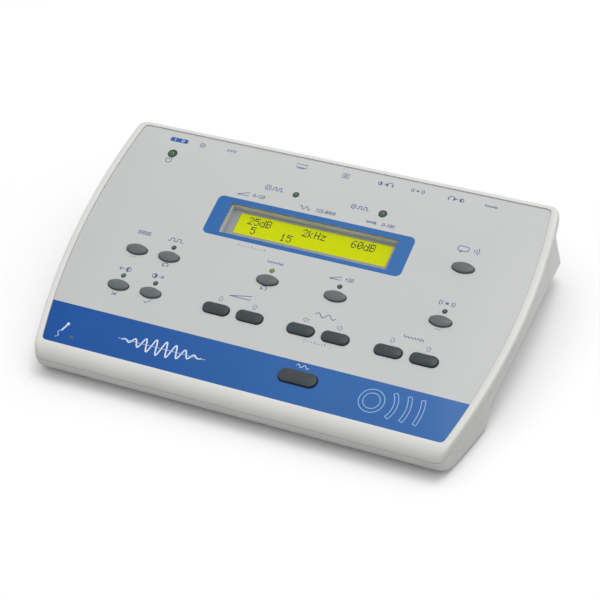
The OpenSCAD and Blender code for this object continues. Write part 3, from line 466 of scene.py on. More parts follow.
bowFlat = panel["bow"] * run ** 2
tub = {"frontR": 5.0, "backR": 1.3, "bottomR": 1.0, "gripX": 118.4, "gripY": 19.165, "gripZ": -96.0,
       "gripR": 123.0, "gripFront": -35.835, "lip": 0.8, "fillet": 2.2, "skirt": 0.7,
       "pocket": (110.0, 10.0, 35.5), "pocketRound": 0.6, "footD": 12.0, "footPit": 12.3, "footDepth": 0.8,
       "screwD": 5.6, "screwPit": 6.2, "screwDepth": 1.6}
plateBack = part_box("rear_panel")[1].y / mm
flatCentre = panel["halfWidth"] - bowFlat
flatMiddle = panelFront + panel["widestAt"] * run + caseSizes["seam"] * rise
noseY, noseZ = float(noseAt[1]), float(noseAt[2])


def seamHeight(y, depth=5.0):
    return panelHeight - depth / run + (y - panelFront) * rise / run


def frontLine(z, inset=0.0):
    return noseY - np.sqrt(np.maximum((noseR - inset) ** 2 - (z - noseZ) ** 2, 0))


def backLine(z, inset=0.0):
    return caseFoot - (z - underside) * leanRun - inset / math.cos(math.radians(caseSizes["lean"]))


def sideX(y, grow):
    return flatCentre + np.sqrt((bowFlat + grow) ** 2 - (y - flatMiddle) ** 2)


def ease(t):
    t = np.clip(t, 0, 1)
    return t * t * (3 - 2 * t)


def roundIn(z, radius):
    # how far the bottom rounding draws a wall in at a height
    d = np.clip(underside + radius - z, 0, radius)
    return radius - np.sqrt(radius ** 2 - d ** 2)


def tubRows():
    # shares of the way down for a plain wall, and for a wall with a grip, row by row
    a, b, c, d, e, f = 16, 5, 6, 6, 9, 6
    quarter = np.linspace(0, math.pi / 2, b + 1)[1:]
    curve = np.linspace(0, math.pi / 2, d + 1)[1:]
    foot = np.linspace(0, math.pi / 2, f + 1)[1:]
    return {"count": (a, b, c, d, e, f), "upper": np.linspace(0, 1, a), "lip": quarter, "fillet": curve,
            "foot": foot}


def makeTub():
    rows = tubRows()
    a, b, c, d, e, f = rows["count"]
    n = a + b + c + d + e + f
    frontN, cornerN, sideN, endN, gripN, backCornerN, edgeN, backN = 20, 12, 16, 9, 90, 7, 4, 26
    kinds = np.concatenate([np.full(k, i) for i, k in enumerate(
        (frontN, cornerN, sideN, endN, gripN, backCornerN, edgeN, backN))])
    m = len(kinds)
    at = [kinds == i for i in range(8)]
    share = np.concatenate([np.linspace(0, 1, k, endpoint=False) for k in (frontN, cornerN, sideN)]
                           + [np.linspace(0, 1, endN)]
                           + [np.linspace(0, 1, k + 1)[1:] for k in (gripN, backCornerN, edgeN, backN)])
    # across the grip's front end the wall goes from flush to deep, round at its outer edge and inner corner
    deepSteps = np.array([0, 0.004, 0.02, 0.06, 0.35, 0.65, 0.88, 0.97, 1.0])
    shiftSteps = np.array([-0.8, -0.45, -0.15, 0.0, 0.0, 0.0, 0.25, 0.9, 1.9])
    deep = np.zeros(m)
    deep[at[3]], deep[at[4]], deep[at[5]] = deepSteps, 1.0, 1.0
    noseShare = np.zeros(m)
    noseShare[at[0]] = noseShare[at[1]] = 1
    noseShare[at[2]] = 1 - ease(share[at[2]])
    backShare = (at[6] | at[7]).astype(float)
    # how far each row lies on the grip's own wall: none over the arch, all under it, a share along its ceiling
    ceiling = np.linspace(0, 1, c + 1)[1:, None]
    within = np.concatenate([np.zeros((a + b, 1)), ceiling, np.ones((d + e + f, 1))])

    y = np.zeros((n, m))
    z = np.full((n, m), 14.0)
    x = np.zeros((n, m))
    gripX = np.full((n, m), tub["gripX"])
    lip, fillet, skirt = tub["lip"], tub["fillet"], tub["skirt"]
    grow = caseSizes["rim"]
    half, pocketLow, pocketHigh = tub["pocket"]
    edge = tub["pocketRound"]
    for _ in range(14):
        # where each column stands at the heights found so far
        inset = roundIn(z, tub["bottomR"])
        big = bowFlat + grow - inset
        frontY = frontLine(z) + 0 * inset
        cornerY = frontY + tub["frontR"]
        reach = np.sqrt((big - tub["frontR"]) ** 2 - (cornerY - flatMiddle) ** 2)
        turn = np.arctan2(cornerY - flatMiddle, reach)
        backR = tub["backR"] + 1.4 * ease((z - 16) / 16)
        backY = backLine(z) - inset
        lastY = backY - backR
        lastReach = np.sqrt((big - backR) ** 2 - (lastY - flatMiddle) ** 2)
        lastTurn = np.arctan2(lastY - flatMiddle, lastReach)
        gripFront = tub["gripFront"] - 0.45 * np.clip(15 - z, 0, None)
        k = at[0]
        y[:, k] = frontY[:, k]
        x[:, k] = (flatCentre + reach[:, k]) * share[k]
        k = at[1]
        angle = -math.pi / 2 + (turn[:, k] + math.pi / 2) * share[k]
        y[:, k] = cornerY[:, k] + tub["frontR"] * np.sin(angle)
        x[:, k] = flatCentre + reach[:, k] + tub["frontR"] * np.cos(angle)
        k = at[2]
        startY = flatMiddle + big[:, k] * np.sin(turn[:, k])
        y[:, k] = startY + (gripFront[:, k] - lip - startY) * share[k]
        k = at[3]
        y[:, k] = gripFront[:, k] + shiftSteps
        k = at[4]
        endY = flatMiddle + big[:, k] * np.sin(lastTurn[:, k])
        endY += (lastY[:, k] - endY) * within
        startY = gripFront[:, k] + 1.9
        y[:, k] = startY + (endY - startY) * share[k]
        k = at[5]
        angle = lastTurn[:, k] + (math.pi / 2 - lastTurn[:, k]) * share[k]
        inAngle = math.pi / 2 * share[k] + 0 * angle
        y[:, k] = lastY[:, k] + backR[:, k] * (np.sin(angle) * (1 - within) + np.sin(inAngle) * within)
        x[:, k] = flatCentre + lastReach[:, k] + backR[:, k] * np.cos(angle)
        gripX[:, k] = tub["gripX"] - backR[:, k] * (1 - np.cos(inAngle))
        k = at[6]
        y[:, k] = backY[:, k]
        cornerX = tub["gripX"] - tub["backR"]
        x[:, k] = cornerX + (half + edge - cornerX) * share[k]
        k = at[7]
        y[:, k] = backY[:, k]
        x[:, k] = (half + edge) * (1 - share[k])
        k = at[2] | at[3] | at[4]
        outX = sideX(y[:, k], grow - inset[:, k])
        x[:, k] = outX

        # heights of the rows at those places
        topZ = seamHeight(y[0])
        archY = np.maximum(y[a + b - 1], tub["gripFront"])
        archZ = tub["gripZ"] + np.sqrt(tub["gripR"] ** 2 - (archY - tub["gripY"]) ** 2)
        plain = np.zeros((n, m))
        plain[:a] = topZ + (np.minimum(archZ + lip, topZ - 1) - topZ) * rows["upper"][:, None]
        startZ = plain[a - 1]
        down = np.linspace(0, 1, b + c + d + e + 1)[1:]
        plain[a:n - f] = startZ + (underside + tub["bottomR"] - startZ) * down[:, None]
        plain[n - f:] = underside + tub["bottomR"] * (1 - np.sin(rows["foot"]))[:, None]
        gripped = plain.copy()
        gripped[a:a + b] = archZ + lip * (1 - np.sin(rows["lip"]))[:, None]
        gripped[a + b:a + b + c] = archZ
        i = a + b + c
        gripped[i:i + d] = archZ - fillet * (1 - np.cos(rows["fillet"]))[:, None]
        i += d
        startZ = gripped[i - 1]
        gripped[i:i + e] = startZ + (underside + skirt - startZ) * np.linspace(0, 1, e + 1)[1:, None]
        gripped[n - f:] = underside + skirt * (1 - np.sin(rows["foot"]))[:, None]
        fall = 1 - np.sin(np.linspace(0, math.pi / 2, n))
        nose = underside + (topZ - underside) * fall[:, None]
        backRows = np.concatenate([
            np.linspace(0, 1, 8)[:, None] * (pocketHigh + edge - topZ) + topZ,
            pocketHigh + edge + 0 * topZ
            + np.linspace(0, 1, 25)[1:, None] * (pocketLow - pocketHigh - 2 * edge),
            pocketLow - edge + np.linspace(0, 1, n - f - 32 + 1)[1:, None]
            * (underside + tub["bottomR"] - pocketLow + edge) + 0 * topZ,
            underside + tub["bottomR"] * (1 - np.sin(rows["foot"]))[:, None] + 0 * topZ])
        mixed = plain * (1 - noseShare - backShare) + nose * noseShare + backRows * backShare
        z = mixed + (gripped - plain) * deep

    # the grips' own depth
    inX = np.empty((n, m))
    outX = x.copy()
    inX[:a] = outX[:a]
    inX[a:a + b] = outX[a:a + b] - lip * (1 - np.cos(rows["lip"]))[:, None]
    startX = outX[a + b - 1] - lip
    inX[a + b:a + b + c] = startX + (gripX[a + b - 1] + fillet - startX) * ceiling
    i = a + b + c
    inX[i:i + d] = gripX[i:i + d] + fillet * (1 - np.sin(rows["fillet"]))[:, None]
    inX[i + d:n - f] = gripX[i + d:n - f]
    inX[n - f:] = gripX[n - f:] - skirt * (1 - np.cos(rows["foot"]))[:, None]
    x = outX + (inX - outX) * deep

    right = np.stack([x, y, z], axis=-1)
    left = right[:, -2:0:-1].copy()
    left[..., 0] *= -1
    outer = np.concatenate([right, left], axis=1)
    total = outer.shape[1]
    firstCol = m - backN - 1
    lastCol = total - firstCol
    rowTop, rowLow = 7, 31
    quads = gridFaces(n, total)
    r, q = np.divmod(np.arange(len(quads)), total)
    hole = (r >= rowTop) & (r < rowLow) & (q >= firstCol) & (q < lastCol)
    shape = Shape()
    shape.add(outer, quads[~hole])

    def around(grid, top, low, first, last):
        # the points round a rectangular gap in a grid, in order
        return np.concatenate([grid[top, first:last], grid[top:low, last], grid[low, last:first:-1],
                               grid[low:top:-1, first]])

    # the pocket's mouth: rounded into the hole, then straight in to the rear plate
    mouth = around(outer, rowTop, rowLow, firstCol, lastCol)
    target = mouth.copy()
    target[:, 0] = np.clip(mouth[:, 0], -half, half)
    target[:, 2] = np.clip(mouth[:, 2], pocketLow, pocketHigh)
    angle = np.linspace(0, math.pi / 2, 6)[:, None]
    rounding = np.empty((6, len(mouth), 3))
    rounding[..., 0] = mouth[:, 0] + (target[:, 0] - mouth[:, 0]) * np.sin(angle)
    rounding[..., 2] = mouth[:, 2] + (target[:, 2] - mouth[:, 2]) * np.sin(angle)
    rounding[..., 1] = backLine(rounding[..., 2]) - edge * (1 - np.cos(angle))
    frameOut = target.copy()
    frameOut[:, 1] = plateBack
    shape.addGrid(np.concatenate([rounding, frameOut[None]]))

    # the inside: a plain box with rounded front corners, a wall's thickness clear of everything
    wall = caseSizes["wall"]
    inHalf = tub["gripX"] - wall
    inR = 5.0
    levels = np.concatenate([np.linspace(0, 1, 6), 1 + np.linspace(0, 1, 10)[1:], 2 + np.linspace(0, 1, 5)[1:]])
    u = np.concatenate([np.linspace(0, inHalf - inR, 9)[:-1], np.full(9, inHalf - inR), np.full(8, inHalf),
                        np.linspace(inHalf, half + wall, 3)[1:], np.linspace(half + wall, 0, 12)[1:]])
    turn = np.linspace(-math.pi / 2, 0, 9)
    inRows, inCols = len(levels), len(u)
    ix = np.zeros((inRows, inCols))
    iy = np.zeros((inRows, inCols))
    iz = np.full((inRows, inCols), 12.0)
    for _ in range(12):
        low, high = frontLine(iz, wall), backLine(iz, wall)
        ix[:] = u
        ix[:, 8:17] = u[8:17] + inR * np.cos(turn)
        iy[:, :8] = low[:, :8]
        iy[:, 8:17] = low[:, 8:17] + inR + inR * np.sin(turn)
        along = np.linspace(0, 1, 9)[1:]
        iy[:, 17:25] = low[:, 17:25] + inR + (high[:, 17:25] - low[:, 17:25] - inR) * along
        iy[:, 25:] = high[:, 25:]
        topZ = seamHeight(iy[0])
        knots = np.stack([topZ, np.minimum(pocketHigh + wall, topZ - 2.0),
                          np.minimum(pocketLow - wall, topZ - 4.0), np.full(inCols, underside + wall)])
        k = np.minimum(levels.astype(int), 2)
        part = (levels - k)[:, None]
        iz = knots[k] * (1 - part) + knots[k + 1] * part
    inner = np.stack([ix, iy, iz], axis=-1)
    mirrored = inner[:, -2:0:-1].copy()
    mirrored[..., 0] *= -1
    inner = np.concatenate([inner, mirrored], axis=1)
    inTotal = inner.shape[1]
    inFirst = inCols - 12
    inLast = inTotal - inFirst
    quads = gridFaces(inRows, inTotal)
    r, q = np.divmod(np.arange(len(quads)), inTotal)
    hole = (r >= 5) & (r < 14) & (q >= inFirst) & (q < inLast)
    shape.add(inner, quads[~hole])
    mouth = around(inner, 5, 14, inFirst, inLast)
    frameIn = mouth.copy()
    frameIn[:, 1] = plateBack
    shape.addGrid(np.stack([mouth, frameIn]))
    flat, tris = fillPlate(frameIn[:, [0, 2]], [frameOut[:, [0, 2]]])
    shape.addPlate(flat, tris, lambda p, q: np.stack([p, np.full_like(p, plateBack), q], axis=-1))
    flat, tris = fillPlate(outer[0, :, :2], [inner[0, :, :2]])
    shape.addPlate(flat, tris, lambda p, q: np.stack([p, q, seamHeight(q)], axis=-1))
    flat, tris = fillPlate(inner[-1, :, :2])
    shape.addPlate(flat, tris, lambda p, q: np.stack([p, q, np.full_like(p, underside + wall)], axis=-1))

    # the underside, with a sunk place for each foot and each case screw
    pits = []
    for node, piece, pit, count, start, depth in (
            ("rubber_feet", tub["footD"], tub["footPit"], 56, underside, tub["footDepth"]),
            ("case_screws", tub["screwD"], tub["screwPit"], 40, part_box("case_screws")[0].z / mm,
             tub["screwDepth"])):
        low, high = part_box(node)
        for sx in (-1, 1):
            for y in (low.y / mm + piece / 2, high.y / mm - piece / 2):
                pits.append((circleLoop(pit, count) + [sx * (high.x / mm - piece / 2), y], start + depth))
    flat, tris = fillPlate(outer[-1, :, :2], [p[0] for p in pits])
    shape.addPlate(flat, tris, lambda p, q: np.stack([p, q, np.full_like(p, underside)], axis=-1))
    for loop, depth in pits:
        ring = np.stack([np.column_stack([loop, np.full(len(loop), level)]) for level in (underside, depth)])
        shape.addGrid(ring)
        flat, tris = fillPlate(loop)
        shape.addPlate(flat, tris, lambda p, q, depth=depth: np.stack([p, q, np.full_like(p, depth)], axis=-1))
    return makePiece("tub_shell", shape, caseFinish, stands=["lower_case"], crease=32)


makeTub()
print("the tub is made")


# the printed sheet, whose material draws its colours in panel distances

printSizes = {"band": 25.45, "frameLow": (-59.4, 89.45), "frameHigh": (59.1, 116.15), "frameCorner": 3.4,
              "lampRing": 0.9, "cutEdge": -0.06}


def calc(tree, operation, *values, clamp=False):
    node = tree.nodes.new("ShaderNodeMath")
    node.operation = operation
    node.use_clamp = clamp
    for i, value in enumerate(values):
        if isinstance(value, (int, float)):
            node.inputs[i].default_value = value
        else:
            tree.links.new(value, node.inputs[i])
    return node.outputs[0]


def blendColours(tree, share, first, second):
    node = tree.nodes.new("ShaderNodeMix")
    node.data_type = "RGBA"
    for i, value in ((0, share), (6, first), (7, second)):
        if isinstance(value, (tuple, int, float)):
            node.inputs[i].default_value = value
        else:
            tree.links.new(value, node.inputs[i])
    return node.outputs[2]


def panelCoordinates(tree, place):
    # u, v and w of a shaded point in millimetres
    split = tree.nodes.new("ShaderNodeSeparateXYZ")
    tree.links.new(place, split.inputs[0])
    u = calc(tree, "MULTIPLY", split.outputs[0], 1 / mm)
    y = calc(tree, "MULTIPLY_ADD", split.outputs[1], 1 / mm, -float(panelFront))
    z = calc(tree, "MULTIPLY_ADD", split.outputs[2], 1 / mm, -float(panelHeight))
    v = calc(tree, "ADD", calc(tree, "MULTIPLY", y, run), calc(tree, "MULTIPLY", z, rise))
    w = calc(tree, "SUBTRACT", calc(tree, "MULTIPLY", z, run), calc(tree, "MULTIPLY", y, rise))
    return u, v, w


def softStep(tree, value, edge, soft=0.05):
    # 1 below the edge and 0 above it
    return calc(tree, "MULTIPLY_ADD", value, -1 / soft, edge / soft + 0.5, clamp=True)


def rectangleDistance(tree, u, v, low, high, corner):
    # distance to a rectangle with round corners: how far a point lies outside its inner corners, less the
    # radius
    parts = []
    for value, a, b in ((u, low[0], high[0]), (v, low[1], high[1])):
        off = calc(tree, "ABSOLUTE", calc(tree, "SUBTRACT", value, (a + b) / 2))
        parts.append(calc(tree, "SUBTRACT", off, (b - a) / 2 - corner))
    clipped = [calc(tree, "MAXIMUM", p, 0.0) for p in parts]
    far = calc(tree, "SQRT", calc(tree, "ADD", *(calc(tree, "POWER", p, 2.0) for p in clipped)))
    near = calc(tree, "MINIMUM", calc(tree, "MAXIMUM", *parts), 0.0)
    return calc(tree, "SUBTRACT", calc(tree, "ADD", far, near), corner)


def circleDistance(tree, u, v, centre):
    off = [calc(tree, "POWER", calc(tree, "SUBTRACT", p, float(c)), 2.0) for p, c in zip((u, v), centre)]
    return calc(tree, "SQRT", calc(tree, "ADD", *off))


def printedFinish():
    material, tree, shader, place = startFinish("printedSheet", 0.42)
    shader.inputs["Specular IOR Level"].default_value = 0.2
    n, link = tree.nodes, tree.links.new
    u, v, w = panelCoordinates(tree, place)
    grain = n.new("ShaderNodeGroup")
    grain.node_tree = mouldedGrain
    grain.inputs["Fineness"].default_value = 2400
    grain.inputs["Breadth"].default_value = 14
    link(place, grain.inputs["Place"])
    paper = blendColours(tree, grain.outputs["Tint"], linear(189, 190, 190), linear(194, 195, 195))
    across = calc(tree, "MULTIPLY_ADD", u, 1 / (2 * panel["halfWidth"]), 0.5, clamp=True)
    blue = blendColours(tree, across, linear(2, 74, 150), linear(56, 106, 168))
    frameBlue = blendColours(tree, across, linear(40, 96, 160), linear(52, 106, 168))
    frameGap = rectangleDistance(tree, u, v, printSizes["frameLow"], printSizes["frameHigh"],
                                 printSizes["frameCorner"])
    colour = blendColours(tree, softStep(tree, v, printSizes["band"]), paper, blue)
    colour = blendColours(tree, softStep(tree, frameGap, 0.0), colour, frameBlue)
    ring = circleDistance(tree, u, v, lampPlace["power"])
    aroundLamp = softStep(tree, ring, lampD["power"] / 2 + printSizes["lampRing"])
    colour = blendColours(tree, aroundLamp, colour, linear(60, 74, 72))
    # the cut edge of the sheet shows its clear body
    colour = blendColours(tree, softStep(tree, w, printSizes["cutEdge"], 0.04), colour, linear(176, 178, 180))
    link(colour, shader.inputs["Base Color"])
    dull = n.new("ShaderNodeMapRange")
    dull.inputs["To Min"].default_value, dull.inputs["To Max"].default_value = 0.36, 0.48
    link(grain.outputs["Height"], dull.inputs["Value"])
    link(dull.outputs["Result"], shader.inputs["Roughness"])
    bump = n.new("ShaderNodeBump")
    bump.inputs["Strength"].default_value = 0.3
    bump.inputs["Distance"].default_value = 0.01 * mm
    link(grain.outputs["Height"], bump.inputs["Height"])
    link(bump.outputs["Normal"], shader.inputs["Normal"])
    return material


def makeSheet():
    # the sheet itself, with a slightly rounded outer edge and holes a little wider than the keys
    shape = Shape()
    thick = panel["sheet"]
    gap = panel["sheetGap"]
    holes = panelHoles()
    edge = [(gap + 0.10, 0.0), (gap + 0.03, -0.03), (gap, -0.10), (gap, 0.02 - thick)]
    shape.addGrid(np.stack([fromPanel(sheetRing(i)[:, 0], sheetRing(i)[:, 1], w) for i, w in edge]))
    for inset, w in (edge[0], edge[-1]):
        flat, tris = fillPlate(sheetRing(inset), holes)
        shape.addPlate(flat, tris, lambda u, v, w=w: fromPanel(u, v, w))
    for loop in holes:
        shape.addGrid(np.stack([fromPanel(loop[:, 0], loop[:, 1], w) for w in (0.0, 0.02 - thick)]))
    return makePiece("printed_sheet", shape, printedFinish(), stands=["panel_overlay"])


makeSheet()
print("the printed sheet is made")


# the keys

def offsetLoop(loop, inset):
    # a loop drawn in along its own normals
    ahead, behind = np.roll(loop, -1, axis=0), np.roll(loop, 1, axis=0)
    along = ahead - behind
    length = np.linalg.norm(along, axis=1, keepdims=True)
    along = along / np.maximum(length, 1e-9)
    return loop + np.stack([-along[:, 1], along[:, 0]], axis=1) * inset


def cleanLoop(loop):
    far = np.linalg.norm(loop - np.roll(loop, 1, axis=0), axis=1) > 1e-4
    return loop[far]


def makeKey(k, finish):
    # a domed crown with a rounded edge, straight sides, a flange under the panel and a stem; the dome
    # falls with the 2.4th power of the way out, and the edge is a quarter circle
    size, at = keySize[k], keyPlace[k]
    if k in ovalKeys:
        loop = ovalLoop(size[0], size[1], keySizes["ovalEnd"])
    else:
        loop = pillLoop(size[0], size[1])
    loop = cleanLoop(loop)
    low = panelBox("key_" + k)[0][2]
    top, dome, edge = keySizes["rise"], keySizes["dome"], keySizes["edge"]
    rows = []
    for share in (0.02, 0.2, 0.4, 0.6, 0.78, 0.9, 1.0):
        rows.append((offsetLoop(loop, edge) * share, top - dome * share ** 2.4))
    for a in np.linspace(0.12, 1, 8) * math.pi / 2:
        rows.append((offsetLoop(loop, edge * (1 - math.sin(a))), top - dome - edge * (1 - math.cos(a))))
    flangeTop, flangeLow = -keySizes["flangeTop"], -keySizes["flangeTop"] - keySizes["flangeThick"]
    root = keySizes["root"]
    flange = offsetLoop(loop, -keySizes["flange"])
    rows += [(loop, flangeTop + root), (offsetLoop(loop, -root), flangeTop), (flange, flangeTop),
             (flange, flangeLow)]
    turn = np.arctan2(loop[:, 1], loop[:, 0])
    stem = np.stack([np.cos(turn), np.sin(turn)], axis=1) * keySizes["stem"] / 2
    rows += [(stem, flangeLow), (stem, low)]
    grid = np.stack([fromPanel(r[:, 0] + at[0], r[:, 1] + at[1], w) for r, w in rows])
    shape = Shape()
    shape.addGrid(grid)
    count = len(loop)
    for index, w in ((0, top), (len(rows) - 1, low)):
        pole = fromPanel(at[0], at[1], w).reshape(1, 3)
        fan = np.stack([np.arange(count), (np.arange(count) + 1) % count, np.full(count, count)], axis=1)
        shape.add(np.concatenate([grid[index], pole]), fan)
    return makePiece("crown_" + k, shape, finish, body=k + "_key", stands=["key_" + k],
                     crease=50)


for keyName in ovalKeys:
    makeKey(keyName, ovalFinish)
for keyName in pillKeys:
    makeKey(keyName, pillFinish)
print("the keys are made")


# the lamps

def epoxyFinish(name, colour, glow=0.0, glowColour=None):
    # tinted cast resin: a painted shade darkens the colour towards the rim as the dome turns away from view,
    # and a lit one glows from its middle
    material, tree, shader, place = startFinish(name, 0.16)
    n, link = tree.nodes, tree.links.new
    shader.inputs["IOR"].default_value = 1.54
    shader.inputs["Coat Weight"].default_value = 0.4
    shader.inputs["Coat Roughness"].default_value = 0.08
    noise = n.new("ShaderNodeTexNoise")
    noise.inputs["Scale"].default_value = 900
    noise.inputs["Detail"].default_value = 2
    link(place, noise.inputs["Vector"])
    facing = n.new("ShaderNodeLayerWeight")
    facing.inputs["Blend"].default_value = 0.45
    # painted shade: dark is the colour at 0.45, blended in by the facing share towards the rim, where the dome
    # turns away from view
    dark = (*(c * 0.45 for c in colour[:3]), 1)
    mottled = blendColours(tree, noise.outputs["Fac"], colour, (*(c * 0.82 for c in colour[:3]), 1))
    link(blendColours(tree, facing.outputs["Facing"], mottled, dark), shader.inputs["Base Color"])
    if glow:
        link(blendColours(tree, facing.outputs["Facing"], glowColour, (*(c * 0.3 for c in glowColour[:3]), 1)),
             shader.inputs["Emission Color"])
        shader.inputs["Emission Strength"].default_value = glow
    return material


lampFinish = {"dark": epoxyFinish("lampDark", linear(40, 84, 62)),
              "green": epoxyFinish("lampGreen", linear(30, 76, 28), 0.12, linear(70, 180, 50)),
              "yellow": epoxyFinish("lampYellow", linear(104, 112, 36), 0.16, linear(180, 190, 40))}
lampState = {"power": "green", "left": "green", "mask": "yellow"}
lampSizes = {"top": 0.9, "collar": 0.5, "collarHigh": 1.0, "pole": 0.01}


def lathe(profile, count=40):
    # radius and height of each row, turned about the height axis
    t = np.linspace(0, 2 * math.pi, count, endpoint=False)
    r, h = np.array(profile).T[:, :, None]
    return np.stack([r * np.cos(t), r * np.sin(t), np.broadcast_to(h, (len(r), count))], axis=-1)


def makeLamp(name):
    # a half-round dome on a short barrel, with a wider collar at its foot
    d, at = lampD[name], lampPlace[name]
    low = panelBox("led_" + name)[0][2]
    domeW = lampSizes["top"] - d / 2
    collar = d / 2 + lampSizes["collar"]
    profile = [(max(d / 2 * math.sin(a), lampSizes["pole"]), domeW + d / 2 * math.cos(a))
               for a in np.linspace(0, math.pi / 2, 12)]
    profile += [(d / 2, domeW - 0.5), (d / 2, low + lampSizes["collarHigh"] + 0.1),
                (collar, low + lampSizes["collarHigh"]), (collar, low), (lampSizes["pole"], low)]
    rows = lathe(profile)
    shape = Shape()
    shape.addGrid(fromPanel(rows[..., 0] + at[0], rows[..., 1] + at[1], rows[..., 2]))
    for index in (0, -1):
        w = profile[index][1]
        shape.addPlate(rows[index][:, :2], [range(rows.shape[1])],
                       lambda u, v, w=w: fromPanel(u + at[0], v + at[1], w))
    state = lampState.get(name, "dark")
    makePiece("lens_" + name, shape, lampFinish[state], stands=["led_" + name],
              crease=40)


for lampName in lamps:
    makeLamp(lampName)
print("the lamps are made")


# the display: a clear plate, a painted frame, the lit glass and its dots

displaySizes = {"field": (91.4, 13.8), "fieldOff": 1.3, "bezelSheet": 0.5, "pitch": 3.67, "rowPitch": 5.95,
                "dot": 0.6, "dotStep": 0.62, "tall": 1.12, "dotLift": 0.015, "columns": 24}
fieldSize = np.array(displaySizes["field"])
fieldAt = windowAt + displaySizes["fieldOff"]
glassHigh = panelBox("lcd_glass")[1]
glyphs = {
    "0": (".###.", "#...#", "#..##", "#.#.#", "##..#", "#...#", ".###."),
    "1": ("..#..", ".##..", "..#..", "..#..", "..#..", "..#..", ".###."),
    "2": (".###.", "#...#", "....#", "...#.", "..#..", ".#...", "#####"),
    "5": ("#####", "#....", "####.", "....#", "....#", "#...#", ".###."),
    "6": ("..##.", ".#...", "#....", "####.", "#...#", "#...#", ".###."),
    "d": ("....#", "....#", ".##.#", "#..##", "#...#", "#...#", ".####"),
    "B": ("####.", "#...#", "#...#", "####.", "#...#", "#...#", "####."),
    "k": ("#....", "#....", "#..#.", "#.#..", "##...", "#.#..", "#..#."),
    "H": ("#...#", "#...#", "#...#", "#####", "#...#", "#...#", "#...#"),
    "z": (".....", ".....", "#####", "...#.", "..#..", ".#...", "#####"),
}
readings = (" 25dB     2kHz    60dB  ", "  5    15               ")


def clearFinish():
    material, tree, shader, place = startFinish("clearPlate", 0.06)
    n, link = tree.nodes, tree.links.new
    shader.inputs["Base Color"].default_value = (0.04, 0.05, 0.05, 1)
    shader.inputs["Alpha"].default_value = 0.04
    shader.inputs["Specular IOR Level"].default_value = 0.06
    shader.inputs["IOR"].default_value = 1.49
    smear = n.new("ShaderNodeTexNoise")
    smear.inputs["Scale"].default_value = 30
    smear.inputs["Detail"].default_value = 4
    link(place, smear.inputs["Vector"])
    dull = n.new("ShaderNodeMapRange")
    dull.inputs["To Min"].default_value, dull.inputs["To Max"].default_value = 0.03, 0.12
    link(smear.outputs["Fac"], dull.inputs["Value"])
    link(dull.outputs["Result"], shader.inputs["Roughness"])
    material.surface_render_method = "BLENDED"
    return material


def glassFinish():
    # reflective display glass: a yellow-green field with light from behind
    material, tree, shader, place = startFinish("displayGlass", 0.3)
    shader.inputs["Specular IOR Level"].default_value = 0.05
    n, link = tree.nodes, tree.links.new
    u, v = panelCoordinates(tree, place)[:2]
    low, high = fieldAt - fieldSize / 2, fieldAt + fieldSize / 2
    inside = softStep(tree, rectangleDistance(tree, u, v, low, high, 0.4), 0.0)
    noise = n.new("ShaderNodeTexNoise")
    noise.inputs["Scale"].default_value = 60
    link(place, noise.inputs["Vector"])
    lit = blendColours(tree, noise.outputs["Fac"], linear(196, 206, 0), linear(202, 212, 0))
    link(blendColours(tree, inside, linear(152, 156, 150), lit), shader.inputs["Base Color"])
    link(blendColours(tree, inside, (0, 0, 0, 1), linear(205, 215, 0)), shader.inputs["Emission Color"])
    shader.inputs["Emission Strength"].default_value = 0.13
    return material


def bezelFinish():
    return moulded("bezelPaint", linear(150, 153, 155), shade=0.96, roughness=0.55, grain=1800, depth=0.006,
                   metal=0.1)


def plainFinish(node, finish):
    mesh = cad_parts[node].data
    mesh.materials.clear()
    mesh.materials.append(finish)


def makeWindow():
    # the clear plate with softened edges
    size = windowHigh[:2] - windowLow[:2]
    top, low = float(windowHigh[2]), float(windowLow[2])
    shape = Shape()
    rows = [(0.15, top), (0.04, top - 0.04), (0.0, top - 0.15), (0.0, low)]
    loops = [rectLoop(size[0] - 2 * i, size[1] - 2 * i, 0.8 - i) + windowAt for i, w in rows]
    shape.addGrid(np.stack([fromPanel(loop[:, 0], loop[:, 1], w) for loop, (i, w) in zip(loops, rows)]))
    for index in (0, -1):
        flat, tris = fillPlate(loops[index])
        shape.addPlate(flat, tris, lambda u, v, w=rows[index][1]: fromPanel(u, v, w))
    return makePiece("window_plate", shape, clearFinish(), stands=["display_window"],
                     crease=60)


def makeBezel():
    # stamped frame: a flat face round the lit field, its inner edge rolled down
    low, high = panelBox("lcd_bezel")
    at, size = (low[:2] + high[:2]) / 2, (high - low)[:2]
    front, back = float(high[2]), float(low[2])
    sheetT = displaySizes["bezelSheet"]
    shape = Shape()
    outer = [rectLoop(size[0] - 2 * i, size[1] - 2 * i, 1.0 - i) + at for i in (0.25, 0.07, 0.0, 0.0)]
    levels = [front, front - 0.07, front - 0.25, back]
    inner = [rectLoop(fieldSize[0] + 2 * i, fieldSize[1] + 2 * i, 0.6) + fieldAt for i in (0.5, 0.15, 0.0)]
    innerLevels = [front, front - 0.1, front - sheetT + 0.02]
    shape.addGrid(np.stack([fromPanel(p[:, 0], p[:, 1], w) for p, w in zip(outer, levels)]))
    shape.addGrid(np.stack([fromPanel(p[:, 0], p[:, 1], w) for p, w in zip(inner, innerLevels)]))
    flat, tris = fillPlate(outer[0], [inner[0]])
    shape.addPlate(flat, tris, lambda u, v: fromPanel(u, v, front))
    flange = rectLoop(size[0] - 2 * sheetT, size[1] - 2 * sheetT, 0.5) + at
    flat, tris = fillPlate(flange, [inner[-1]])
    shape.addPlate(flat, tris, lambda u, v: fromPanel(u, v, innerLevels[-1]))
    shape.addGrid(np.stack([fromPanel(flange[:, 0], flange[:, 1], w) for w in (innerLevels[-1], back)]))
    flat, tris = fillPlate(outer[-1], [flange])
    shape.addPlate(flat, tris, lambda u, v: fromPanel(u, v, back))
    return makePiece("display_frame", shape, bezelFinish(), stands=["lcd_bezel"],
                     crease=60)


